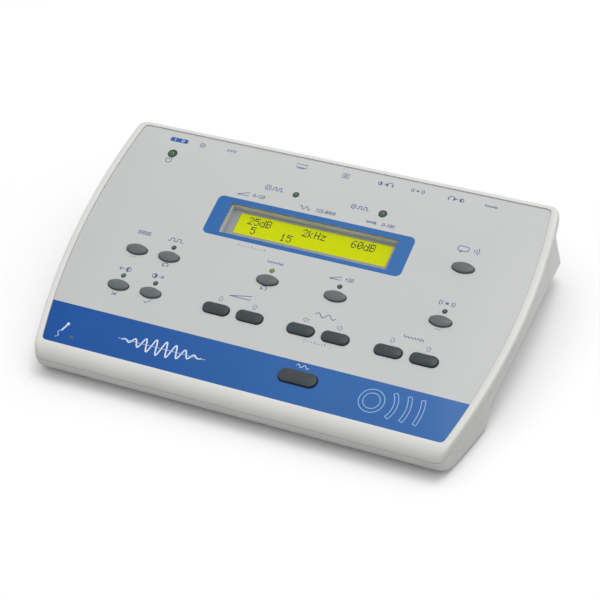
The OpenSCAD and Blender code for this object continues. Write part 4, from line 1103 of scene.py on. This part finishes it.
def makeDots():
    # every lit dot is a small square just over the glass
    pitch, rowPitch, tall = (displaySizes[k] for k in ("pitch", "rowPitch", "tall"))
    dot, step = displaySizes["dot"], displaySizes["dotStep"]
    dots = [(i * pitch + c * step, -line * rowPitch - r * step * tall)
            for line, text in enumerate(readings)
            for i, mark in enumerate(text) if mark in glyphs
            for r, row in enumerate(glyphs[mark])
            for c, lit in enumerate(row) if lit == "#"]
    width = (displaySizes["columns"] - 1) * pitch + 5 * step
    height = rowPitch + 7 * step * tall
    at = np.array(dots) + (fieldAt + [-width / 2, height / 2])
    corners = np.array([(0, 0), (dot, 0), (dot, -dot * tall), (0, -dot * tall)])
    flat = (at[:, None] + corners).reshape(-1, 2)
    top = float(glassHigh[2]) + displaySizes["dotLift"]
    shape = Shape()
    shape.add(fromPanel(flat[:, 0], flat[:, 1], top), np.arange(len(flat)).reshape(-1, 4))
    finish = moulded("displayDots", linear(26, 34, 2), shade=0.9, roughness=0.5)
    return makePiece("display_dots", shape, finish, mend=False)


makeWindow()
makeBezel()
makeDots()
plainFinish("lcd_glass", glassFinish())
print("the display is made")


# the print's marks: plain pictures and numbers

blueInk, deepInk, whiteInk, paleInk = (Shape() for _ in range(4))
inkLift = 0.02


def ribbon(shape, points, width, at=(0, 0), closed=False, lift=None):
    # a line of even width along flat points; the sides are drawn out along the line's own normals
    p = np.asarray(points, float) + at
    ahead = np.roll(p, -1, axis=0) if closed else np.concatenate([p[1:], p[-1:]])
    behind = np.roll(p, 1, axis=0) if closed else np.concatenate([p[:1], p[:-1]])
    along = ahead - behind
    along = along / np.maximum(np.linalg.norm(along, axis=1, keepdims=True), 1e-9)
    normal = np.stack([-along[:, 1], along[:, 0]], axis=1) * width / 2
    rows = np.stack([p - normal, p + normal])
    lift = lift or (lambda u, v: fromPanel(u, v, inkLift))
    shape.addGrid(lift(rows[..., 0], rows[..., 1]), ringColumns=closed)


def solid(shape, loop, at=(0, 0), holes=(), lift=None):
    flat, tris = fillPlate(np.asarray(loop, float) + at, [np.asarray(h, float) + at for h in holes])
    shape.addPlate(flat, tris, lift or (lambda u, v: fromPanel(u, v, inkLift)))


def words(shape, body, at, size, lift=None, shear=0.0):
    # numbers and unit signs from the built-in face, made into flat faces first and then put in place
    curve = bpy.data.curves.new("mark", "FONT")
    curve.body, curve.size, curve.shear = body, size, shear
    curve.align_x, curve.align_y = "CENTER", "CENTER"
    curve.resolution_u = 3
    curve.offset = 0.02 * size
    holder = bpy.data.objects.new("mark", curve)
    bpy.context.scene.collection.objects.link(holder)
    bpy.context.view_layer.update()
    mesh = bpy.data.meshes.new_from_object(holder.evaluated_get(bpy.context.evaluated_depsgraph_get()))
    flat = np.zeros(len(mesh.vertices) * 3)
    mesh.vertices.foreach_get("co", flat)
    flat = flat.reshape(-1, 3)[:, :2] + at
    lift = lift or (lambda u, v: fromPanel(u, v, inkLift))
    shape.add(lift(flat[:, 0], flat[:, 1]), [tuple(f.vertices) for f in mesh.polygons])
    bpy.data.objects.remove(holder)
    bpy.data.curves.remove(curve)
    bpy.data.meshes.remove(mesh)


def wave(width, height, cycles, count=90, packet=False):
    # a sine wave; a packet's height also swells and fades by a power of the cosine
    t = np.linspace(-1, 1, count)
    swell = np.cos(t * math.pi / 2) ** 1.2 if packet else 1.0
    return np.stack([t * width / 2, height / 2 * swell * np.sin(t * math.pi * cycles)], axis=1)


def arcLine(radius, start, end, count=20):
    t = np.radians(np.linspace(start, end, count))
    return np.stack([np.cos(t), np.sin(t)], axis=1) * radius


def blockArrow(size, turn):
    # outline arrow that points up before it is turned
    a = np.array([(0, 1), (0.9, 0), (0.42, 0), (0.42, -0.9), (-0.42, -0.9), (-0.42, 0), (-0.9, 0)]) * size / 2
    c, s = math.cos(math.radians(turn)), math.sin(math.radians(turn))
    return a @ np.array([[c, s], [-s, c]])


def drawIcon(shape, kind, at, size, wide=1.0, line=0.46, lift=None):
    # a picture of a height, stretched sideways
    at = np.array(at, float)
    s = size
    stretch = np.array([wide, 1.0])

    def draw(points, closed=False, width=line):
        ribbon(shape, np.asarray(points) * stretch, width, at, closed, lift)

    if kind == "power":
        draw(arcLine(0.42 * s, 125, 415, 28))
        draw([(0, 0.05 * s), (0, 0.55 * s)])
    elif kind == "menu":
        for k in (-1, 0, 1):
            draw([(-0.6 * s, k * 0.34 * s), (0.6 * s, k * 0.34 * s)])
    elif kind == "pulse":
        steps = np.array([(-1.3, -0.35), (-0.9, -0.35), (-0.9, 0.35), (-0.4, 0.35), (-0.4, -0.35), (0.1, -0.35),
                          (0.1, 0.35), (0.6, 0.35), (0.6, -0.35), (1.1, -0.35)]) * s
        for first, second in zip(steps, steps[1:]):
            draw([first, second])
    elif kind == "noise":
        t = np.linspace(-1.3, 1.3, 27)
        draw(np.stack([t * s, 0.42 * s * np.sin(t * 23.1) * np.cos(t * 9.7 + 0.4)], axis=1))
    elif kind == "sine":
        draw(wave(2.8 * s, 0.9 * s, 2))
    elif kind == "ramp":
        draw([(-1.3 * s, -0.4 * s), (1.3 * s, -0.4 * s), (1.3 * s, 0.45 * s), (-1.3 * s, -0.4 * s)])
    elif kind == "phones":
        draw(arcLine(0.55 * s, 0, 180, 24))
        for k in (-1, 1):
            solid(shape, rectLoop(0.3 * s, 0.55 * s, 0.1 * s, 4) + [k * 0.55 * s, -0.2 * s], at, lift=lift)
    elif kind == "bubble":
        draw(rectLoop(1.7 * s, 1.0 * s, 0.3 * s, 6), closed=True)
        draw([(-0.3 * s, -0.5 * s), (-0.5 * s, -0.9 * s), (0.05 * s, -0.5 * s)])
    elif kind == "bone":
        solid(shape, rectLoop(0.7 * s, 0.5 * s, 0.12 * s, 4), at, lift=lift)
        for k in (0.62, 0.9):
            draw(arcLine(k * s, -40, 40, 12))
            draw(arcLine(k * s, 140, 220, 12))
    elif kind == "lamp":
        draw(circleLoop(0.7 * s, 24), closed=True)
        for k in range(0, 360, 45):
            d = np.array([math.cos(math.radians(k)), math.sin(math.radians(k))]) * s
            draw([d * 0.5, d * 0.75])
    elif kind == "button":
        draw(circleLoop(0.9 * s, 24), closed=True)
        solid(shape, circleLoop(0.35 * s, 20), at, lift=lift)
    elif kind == "page":
        draw(np.array([(-0.4, -0.5), (0.4, -0.5), (0.4, 0.5), (-0.4, 0.5)]) * s, closed=True)
        for k in (-0.2, 0.0, 0.2):
            draw([(-0.22 * s, k * s), (0.22 * s, k * s)], width=line * 0.7)
    elif kind == "screen":
        draw(np.array([(-0.65, -0.3), (0.65, -0.3), (0.65, 0.5), (-0.65, 0.5)]) * s, closed=True)
        draw([(-0.4 * s, -0.52 * s), (0.4 * s, -0.52 * s)])
    elif kind == "supply":
        draw([(-0.6 * s, 0.2 * s), (0.6 * s, 0.2 * s)])
        for k in (-0.45, 0.0, 0.45):
            draw([((k - 0.13) * s, -0.15 * s), ((k + 0.13) * s, -0.15 * s)])
    elif kind == "ticks":
        for k in range(-4, 5):
            high = 0.5 if k % 4 == 0 else 0.25
            draw([(k * 0.33 * s, -0.3 * s), (k * 0.33 * s, (high - 0.3) * s)], width=line * 0.8)
    elif kind == "yes":
        draw([(-0.4 * s, 0.0), (-0.1 * s, -0.35 * s), (0.5 * s, 0.4 * s)])
    elif kind == "no":
        draw([(-0.35 * s, -0.35 * s), (0.35 * s, 0.35 * s)])
        draw([(-0.35 * s, 0.35 * s), (0.35 * s, -0.35 * s)])
    elif kind == "turn":
        draw(arcLine(0.42 * s, -60, 230, 20))
        tip = np.array([(-0.28, 0.0), (0.0, 0.34), (0.3, -0.05)]) * 0.9 + [-0.3, -0.32]
        solid(shape, tip * s, at, lift=lift)
    elif kind == "dots":
        for k in (-1, 0, 1):
            solid(shape, circleLoop(0.24 * s, 14) + [k * 0.5 * s, 0], at, lift=lift)
    elif kind == "waves":
        for k in (0.3, 0.75, 1.2):
            draw(arcLine(k * s, -38, 38, 10))
    elif kind in ("leftHalf", "rightHalf"):
        side = -1 if kind == "leftHalf" else 1
        draw(circleLoop(1.0 * s, 28), closed=True)
        solid(shape, arcLine(0.5 * s, 90, 270, 14) * [-side, 1], at, lift=lift)
        draw([(side * 0.95 * s, 0), (side * 2.0 * s, 0)])
        draw([(side * 1.6 * s, 0.35 * s), (side * 2.0 * s, 0), (side * 1.6 * s, -0.35 * s)])


# picture, place on the panel, height and stretch
marks = [
    ("power", (-99.3, 131.7), 4.2, 1.0), ("lamp", (-34.4, 127.7), 3.0, 1.0),
    ("pulse", (-28.2, 127.7), 3.0, 1.0), ("button", (17.6, 127.5), 3.0, 1.0),
    ("pulse", (23.6, 127.5), 2.8, 1.1), ("ramp", (-46.6, 120.3), 2.9, 0.9),
    ("sine", (-8.6, 119.7), 2.6, 0.9), ("noise", (31.0, 119.8), 2.5, 0.9),
    ("ticks", (-27.3, 87.0), 3.0, 2.0), ("bubble", (86.0, 116.0), 3.0, 1.2),
    ("waves", (91.2, 116.0), 2.8, 1.1), ("menu", (-90.7, 80.4), 2.6, 2.6),
    ("pulse", (-70.3, 80.4), 2.7, 1.5), ("leftHalf", (-88.8, 55.0), 2.8, 1.0),
    ("rightHalf", (-72.6, 55.2), 2.8, 1.0), ("noise", (-10.2, 80.6), 2.6, 1.4),
    ("ramp", (25.6, 80.4), 2.8, 0.9), ("bone", (89.5, 80.4), 2.7, 1.8), ("dots", (-90.3, 63.7), 2.5, 2.2),
    ("turn", (-70.0, 63.4), 3.1, 1.3), ("no", (-89.9, 38.1), 2.7, 1.6), ("yes", (-69.8, 38.3), 2.8, 1.6),
    ("turn", (-10.1, 63.6), 3.1, 1.3), ("dots", (90.1, 63.8), 2.5, 2.2), ("ticks", (30.1, 38.6), 2.8, 1.6),
    ("ramp", (-20.3, 55.4), 3.0, 1.6), ("sine", (29.8, 55.5), 2.8, 1.5), ("noise", (80.1, 55.1), 2.7, 1.6),
    ("supply", (-65.5, 146.4), 2.6, 1.9), ("button", (-83.9, 146.2), 2.7, 1.3),
    ("screen", (-21.4, 146.2), 2.7, 1.8), ("page", (5.5, 146.2), 2.8, 1.8),
    ("leftHalf", (74.2, 146.2), 2.2, 1.0), ("rightHalf", (26.2, 146.2), 2.2, 1.0),
    ("bone", (48.6, 146.2), 2.3, 1.8), ("phones", (68.2, 146.2), 2.7, 1.1),
    ("phones", (32.2, 146.2), 2.7, 1.1), ("noise", (91.1, 146.2), 2.1, 1.3),
]
numbers = [("0-120", (-37.2, 120.3), 3.2), ("125-8000", (3.6, 119.7), 3.2),
           ("0-100", (40.8, 119.8), 3.2), ("+20", (33.4, 80.5), 3.3)]
arrows = [((-30, 50.8), 180), ((-9.8, 50.8), 0), ((20.3, 50.7), 90), ((39.9, 50.7), -90), ((69.9, 51.0), 180),
          ((90, 51.0), 0)]
for kind, at, size, wide in marks:
    drawIcon(blueInk, kind, at, size, wide)
for figures, at, size in numbers:
    words(blueInk, figures, at, size, shear=0.12)
for at, turn in arrows:
    ribbon(blueInk, blockArrow(3.2, turn), 0.34, at, True)

# places and sizes of the larger marks
markSizes = {"badge": (-98.9, 146.3), "badgeSize": (11.3, 2.9, 1.0), "bar": (-101.4, 146.3),
             "ring": (-96.5, 146.3), "packet": (-48.8, 12.4), "packetSize": (48, 9.4, 8), "axis": 26.2,
             "keyWave": (29.9, 22.9), "source": (72.4, 13.6), "stroke": 2.1, "edge": 0.4,
             "head": (-106.2, 13.0), "headD": 1.9, "handle": (1.0, 5.2), "slant": (4.1, 9.9),
             "leadEnd": (-110.2, 3.6), "leadSway": 1.1}


def onBadge(u, v):
    return fromPanel(u, v, 2 * inkLift)


def drawBadge():
    # over the switch: a bar and a ring on a blue ground
    width, height, corner = markSizes["badgeSize"]
    solid(deepInk, rectLoop(width, height, corner, 6), markSizes["badge"])
    ribbon(whiteInk, [(0, -0.8), (0, 0.8)], 0.36, markSizes["bar"], lift=onBadge)
    ribbon(whiteInk, circleLoop(1.5, 24), 0.34, markSizes["ring"], True, lift=onBadge)


def drawPacket():
    # a wave that swells and fades on a thin axis
    width, height, cycles = markSizes["packetSize"]
    ribbon(whiteInk, wave(width, height, cycles, 260, packet=True), 0.85, markSizes["packet"])
    ribbon(whiteInk, [(-markSizes["axis"], 0), (markSizes["axis"], 0)], 0.22, markSizes["packet"])


def drawSource():
    # a ring with waves that run to the right, each a broad stroke drawn as its two edges
    at, half, line = markSizes["source"], markSizes["stroke"] / 2, markSizes["edge"]
    for radius in (6.9, 4.6):
        ribbon(paleInk, circleLoop(2 * radius, 64), line, at, True)
    for radius, reach in ((13.0, 35), (20.0, 22), (27.0, 16)):
        for side in (-half, half):
            ribbon(paleInk, arcLine(radius + side, -reach, reach, 24), line, at)
        for end in (-reach, reach):
            out = np.array([math.cos(math.radians(end)), math.sin(math.radians(end))])
            ribbon(paleInk, [(radius - half) * out, (radius + half) * out], line, at)


def drawMicrophone():
    # a small hand microphone by its hole, with a lead that sways as it falls
    head = np.array(markSizes["head"])
    along = np.array(markSizes["slant"]) / np.hypot(*markSizes["slant"])
    near, far = (head - along * reach for reach in markSizes["handle"])
    solid(whiteInk, circleLoop(markSizes["headD"], 24), head)
    ribbon(whiteInk, [near, far], 1.0)
    t = np.linspace(0, 1, 16)[:, None]
    sway = np.concatenate([np.sin(t * 6.3) * -markSizes["leadSway"], t * 0], axis=1)
    ribbon(whiteInk, far * (1 - t) + np.array(markSizes["leadEnd"]) * t + sway, 0.3)


drawBadge()
drawPacket()
drawIcon(whiteInk, "sine", markSizes["keyWave"], 2.0, 1.3, 0.34)
drawSource()
drawMicrophone()
blueInkFinish = moulded("blueInk", linear(78, 96, 142), shade=0.96, roughness=0.5, depth=0.004)
whiteInkFinish = moulded("whiteInk", linear(206, 218, 240), shade=0.97, roughness=0.5, depth=0.004)
deepInkFinish = moulded("deepInk", linear(22, 80, 154), shade=0.97, roughness=0.5, depth=0.004)
paleInkFinish = moulded("paleInk", linear(150, 182, 224), shade=0.97, roughness=0.5, depth=0.004)
makePiece("print_blue", blueInk, blueInkFinish, mend=False)
makePiece("print_white", whiteInk, whiteInkFinish, mend=False)
makePiece("print_deep", deepInk, deepInkFinish, mend=False)
makePiece("print_pale", paleInk, paleInkFinish, mend=False)
print("the print is made")


# the foam round the display opening

gasketSizes = {"gap": 0.02, "inner": 0.45, "corner": 0.5}


def makeGasket():
    # a thin square tube between the clear plate's seat and the display's frame
    shape = Shape()
    outer = rectLoop(*(openingSize - 2 * gasketSizes["gap"]), openingCorner) + windowAt
    inner = rectLoop(*(openingSize - 2 * gasketSizes["inner"]), gasketSizes["corner"]) + windowAt
    high, low = float(windowLow[2]), float(panelBox("lcd_bezel")[1][2])
    for loop in (outer, inner):
        shape.addGrid(np.stack([fromPanel(loop[:, 0], loop[:, 1], w) for w in (high, low)]))
    flat, tris = fillPlate(outer, [inner])
    for w in (high, low):
        shape.addPlate(flat, tris, lambda u, v, w=w: fromPanel(u, v, w))
    finish = moulded("foam", linear(212, 214, 215), shade=0.95, roughness=0.85, grain=1500, depth=0.01)
    return makePiece("display_gasket", shape, finish)


makeGasket()


# carried-over CAD parts: fine bevels by modifiers, and their own finishes

def dress(node, finish, bevel=0.12, segments=2, angle=30):
    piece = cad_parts[node]
    mesh = piece.data
    mesh.materials.clear()
    mesh.materials.append(finish)
    mesh.shade_smooth()
    weld = piece.modifiers.new("weld", "WELD")
    weld.merge_threshold = 0.002 * mm
    edge = piece.modifiers.new("edge", "BEVEL")
    edge.width = bevel * mm
    edge.segments = segments
    edge.limit_method = "ANGLE"
    edge.angle_limit = math.radians(angle)
    edge.harden_normals = True
    even = piece.modifiers.new("even", "WEIGHTED_NORMAL")
    even.keep_sharp = True


def boardFinish(name, sloped):
    # green lacquer over copper: lines on a grid and round vias
    material, tree, shader, place = startFinish(name, 0.35)
    n, link = tree.nodes, tree.links.new
    if sloped:
        u, v = panelCoordinates(tree, place)[:2]
    else:
        split = n.new("ShaderNodeSeparateXYZ")
        link(place, split.inputs[0])
        u, v = (calc(tree, "MULTIPLY", split.outputs[i], 1 / mm) for i in range(2))
    join = n.new("ShaderNodeCombineXYZ")
    link(u, join.inputs[0])
    link(v, join.inputs[1])
    cells = n.new("ShaderNodeTexVoronoi")
    cells.feature = "DISTANCE_TO_EDGE"
    cells.inputs["Scale"].default_value = 0.16
    link(join.outputs[0], cells.inputs["Vector"])
    vias = n.new("ShaderNodeTexVoronoi")
    vias.inputs["Scale"].default_value = 0.22
    link(join.outputs[0], vias.inputs["Vector"])
    lines = calc(tree, "ABSOLUTE", calc(tree, "SINE", calc(tree, "MULTIPLY", u, 2.6)))
    border = softStep(tree, cells.outputs["Distance"], 0.5, 0.1)
    trace = calc(tree, "MULTIPLY", softStep(tree, lines, 0.35, 0.15), border)
    lacquer = blendColours(tree, trace, linear(18, 84, 50), linear(38, 116, 66))
    pad = softStep(tree, vias.outputs["Distance"], 0.13, 0.04)
    link(blendColours(tree, pad, lacquer, linear(196, 190, 170)), shader.inputs["Base Color"])
    link(calc(tree, "MULTIPLY_ADD", trace, -0.1, 0.4), shader.inputs["Roughness"])
    bump = n.new("ShaderNodeBump")
    bump.inputs["Distance"].default_value = 0.03 * mm
    link(trace, bump.inputs["Height"])
    link(bump.outputs["Normal"], shader.inputs["Normal"])
    return material


def stripedFinish(name, first, second, pitch, roughness=0.45, marker=None, markerLow=0.0):
    # flat cable: stripes across, and one coloured edge
    material, tree, shader, place = startFinish(name, roughness)
    n, link = tree.nodes, tree.links.new
    split = n.new("ShaderNodeSeparateXYZ")
    link(place, split.inputs[0])
    u = calc(tree, "MULTIPLY", split.outputs[0], 1 / mm)
    ridges = calc(tree, "ABSOLUTE", calc(tree, "SINE", calc(tree, "MULTIPLY", u, math.pi / pitch)))
    colour = blendColours(tree, ridges, first, second)
    if marker:
        colour = blendColours(tree, softStep(tree, u, markerLow), colour, marker)
    link(colour, shader.inputs["Base Color"])
    bump = n.new("ShaderNodeBump")
    bump.inputs["Distance"].default_value = 0.15 * mm
    link(ridges, bump.inputs["Height"])
    link(bump.outputs["Normal"], shader.inputs["Normal"])
    return material


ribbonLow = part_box("ribbon_cable")[0].x / mm
dress("keypad_board", boardFinish("keyBoardLacquer", True), 0.08, 1)
dress("lcd_board", boardFinish("displayBoardLacquer", True), 0.08, 1)
dress("main_board", boardFinish("mainBoardLacquer", False), 0.08, 1)
dress("ribbon_cable", stripedFinish("ribbonCable", linear(120, 124, 130), linear(176, 180, 186), 1.27,
                                    marker=linear(190, 40, 40), markerLow=ribbonLow + 1.27), 0.05, 1)
dress("lcd_cable", stripedFinish("filmCable", linear(150, 96, 40), linear(206, 150, 84), 0.8, 0.3), 0.02, 1)
dress("lcd_backlight", guideFinish, 0.1)
dress("key_switches", blackFinish, 0.1)
partsFinish = moulded("partsEpoxy", linear(44, 46, 52), shade=0.7, roughness=0.4, grain=1400)
dress("board_components", partsFinish, 0.12)
feltFinish = moulded("feltCloth", linear(20, 20, 22), shade=0.75, roughness=0.85, grain=2600, depth=0.03)
dress("microphone", feltFinish, 0.15)
dress("microphone_grommet", rubberFinish, 0.15)
dress("rear_panel", backFinish, 0.1)
dress("power_switch", blackFinish, 0.2, 3)
rockerFinish = moulded("rockerPlastic", linear(24, 24, 26), shade=0.8, roughness=0.3, grain=2000)
dress("power_rocker", rockerFinish, 0.3, 3)
dress("dc_inlet", blackFinish, 0.15)
dress("usb_port", metalFinish, 0.12)
dress("printer_port", blackFinish, 0.15)
for jack in ("response", "right", "bone", "left", "insert"):
    dress("jack_" + jack, blackFinish, 0.3, 3)
dress("jack_nuts", metalFinish, 0.18, 2)
dress("rubber_feet", rubberFinish, 0.6, 4)
for screws in ("case_screws", "board_screws", "lcd_screws", "rear_panel_screws"):
    dress(screws, screwFinish, 0.12, 2)
print("the carried-over parts are dressed")


rockerSizes = {"bar": 2.4, "ring": 2.3, "line": 0.55, "lift": 0.03}


def makeRockerMarks():
    # a bar on the rocker's upper half and a ring on its lower one, each on the mean plane of that half's faces
    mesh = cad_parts["power_rocker"].data
    count = len(mesh.polygons)
    normals, centres, areas = np.zeros(count * 3), np.zeros(count * 3), np.zeros(count)
    mesh.polygons.foreach_get("normal", normals)
    mesh.polygons.foreach_get("center", centres)
    mesh.polygons.foreach_get("area", areas)
    normals, centres = normals.reshape(-1, 3), centres.reshape(-1, 3) / mm
    behind = normals[:, 1] > 0.9
    split = (normals[behind, 2].min() + normals[behind, 2].max()) / 2
    shape = Shape()
    bar, ring = [(0, -rockerSizes["bar"] / 2), (0, rockerSizes["bar"] / 2)], circleLoop(rockerSizes["ring"], 32)
    for half, points, closed in ((normals[:, 2] < split, bar, False), (normals[:, 2] >= split, ring, True)):
        share = np.where(behind & half, areas, 0)[:, None] / areas[behind & half].sum()
        centre, out = (centres * share).sum(0), (normals * share).sum(0)
        out = out / np.linalg.norm(out)
        up = np.cross([1, 0, 0], out)

        def onRocker(a, b, start=centre + rockerSizes["lift"] * out, up=up):
            return start - a[..., None] * np.array([1, 0, 0]) + b[..., None] * up

        ribbon(shape, points, rockerSizes["line"], closed=closed, lift=onRocker)
    return makePiece("rocker_marks", shape, whiteInkFinish, body="rocker",
                     mend=False)


makeRockerMarks()
print("the rocker is marked")


# floor, light and camera

def seenDirectly(tree):
    # 1 for what the camera sees, also in metal or through glass, and 0 for light that spreads
    path = tree.nodes.new("ShaderNodeLightPath")
    seen = calc(tree, "MAXIMUM", path.outputs["Is Camera Ray"], path.outputs["Is Glossy Ray"])
    return calc(tree, "MAXIMUM", seen, path.outputs["Is Transmission Ray"])


# in metres; the paper is what the camera sees of the floor, the bounce what lights the object from it
studio = {"half": 6.0, "paper": (0.925, 0.925, 0.925, 1), "bounce": (0.45, 0.45, 0.46, 1), "level": 0.11,
          "overhead": 1.42, "right": 0.33, "back": 0.16, "keyAt": (0.30, 0.30, 1.7), "keyAim": (0, 0, 0.02),
          "keySize": 0.8, "keyWatts": 7.0, "keyColour": (1.0, 0.985, 0.96)}
view = {"at": (0.37652689, -0.66354765, 0.73739974), "turn": (46.34830505, 5.48747233, 24.05442798),
        "lens": 115.158, "sensor": 36}


def makeFloor():
    mesh = bpy.data.meshes.new("floor")
    s = studio["half"]
    mesh.from_pydata([(-s, -s, 0), (s, -s, 0), (s, s, 0), (-s, s, 0)], [], [(0, 1, 2, 3)])
    floor = bpy.data.objects.new("floor", mesh)
    bpy.context.scene.collection.objects.link(floor)
    material = bpy.data.materials.new("floorPaper")
    material.use_nodes = True
    tree = material.node_tree
    shader = tree.nodes["Principled BSDF"]
    colour = blendColours(tree, seenDirectly(tree), studio["bounce"], studio["paper"])
    tree.links.new(colour, shader.inputs["Base Color"])
    shader.inputs["Roughness"].default_value = 0.9
    shader.inputs["Specular IOR Level"].default_value = 0.1
    mesh.materials.append(material)


def makeKeyLight():
    data = bpy.data.lights.new("key", "AREA")
    data.shape = "DISK"
    data.size = studio["keySize"]
    data.energy = studio["keyWatts"]
    data.color = studio["keyColour"]
    lamp = bpy.data.objects.new("key", data)
    place = Vector(studio["keyAt"])
    lamp.location = place
    lamp.rotation_euler = (Vector(studio["keyAim"]) - place).to_track_quat("-Z", "Y").to_euler()
    bpy.context.scene.collection.objects.link(lamp)


def makeWorld():
    world = bpy.data.worlds.new("studio")
    bpy.context.scene.world = world
    world.use_nodes = True
    n, link = world.node_tree.nodes, world.node_tree.links.new
    n.clear()
    # the sky is brightest overhead, and a little brighter at the back right than in front
    place = n.new("ShaderNodeTexCoord")
    split = n.new("ShaderNodeSeparateXYZ")
    link(place.outputs["Generated"], split.inputs[0])
    tree = world.node_tree
    up = calc(tree, "MAXIMUM", split.outputs[2], 0.0)
    overhead = calc(tree, "MULTIPLY", calc(tree, "POWER", up, 2.0), studio["overhead"])
    aside = calc(tree, "ADD", calc(tree, "MULTIPLY", split.outputs[0], studio["right"]),
                 calc(tree, "MULTIPLY", split.outputs[1], studio["back"]))
    strength = calc(tree, "ADD", overhead, calc(tree, "MAXIMUM", aside, 0.0))
    strength = calc(tree, "ADD", strength, studio["level"])
    soft = n.new("ShaderNodeBackground")
    soft.inputs["Color"].default_value = (0.99, 0.995, 1.0, 1)
    link(strength, soft.inputs["Strength"])
    white = n.new("ShaderNodeBackground")
    white.inputs["Color"].default_value = (1, 1, 1, 1)
    white.inputs["Strength"].default_value = 1.0
    mix = n.new("ShaderNodeMixShader")
    out = n.new("ShaderNodeOutputWorld")
    link(seenDirectly(tree), mix.inputs[0])
    link(soft.outputs[0], mix.inputs[1])
    link(white.outputs[0], mix.inputs[2])
    link(mix.outputs[0], out.inputs["Surface"])


makeFloor()
makeWorld()
makeKeyLight()
print("the light is made")

camera = bpy.data.objects.new("camera", bpy.data.cameras.new("camera"))
bpy.context.scene.collection.objects.link(camera)
camera.location = view["at"]
camera.rotation_euler = [math.radians(angle) for angle in view["turn"]]
camera.data.lens = view["lens"]
camera.data.sensor_width = view["sensor"]
bpy.context.scene.camera = camera
bpy.context.scene.view_settings.view_transform = "Standard"
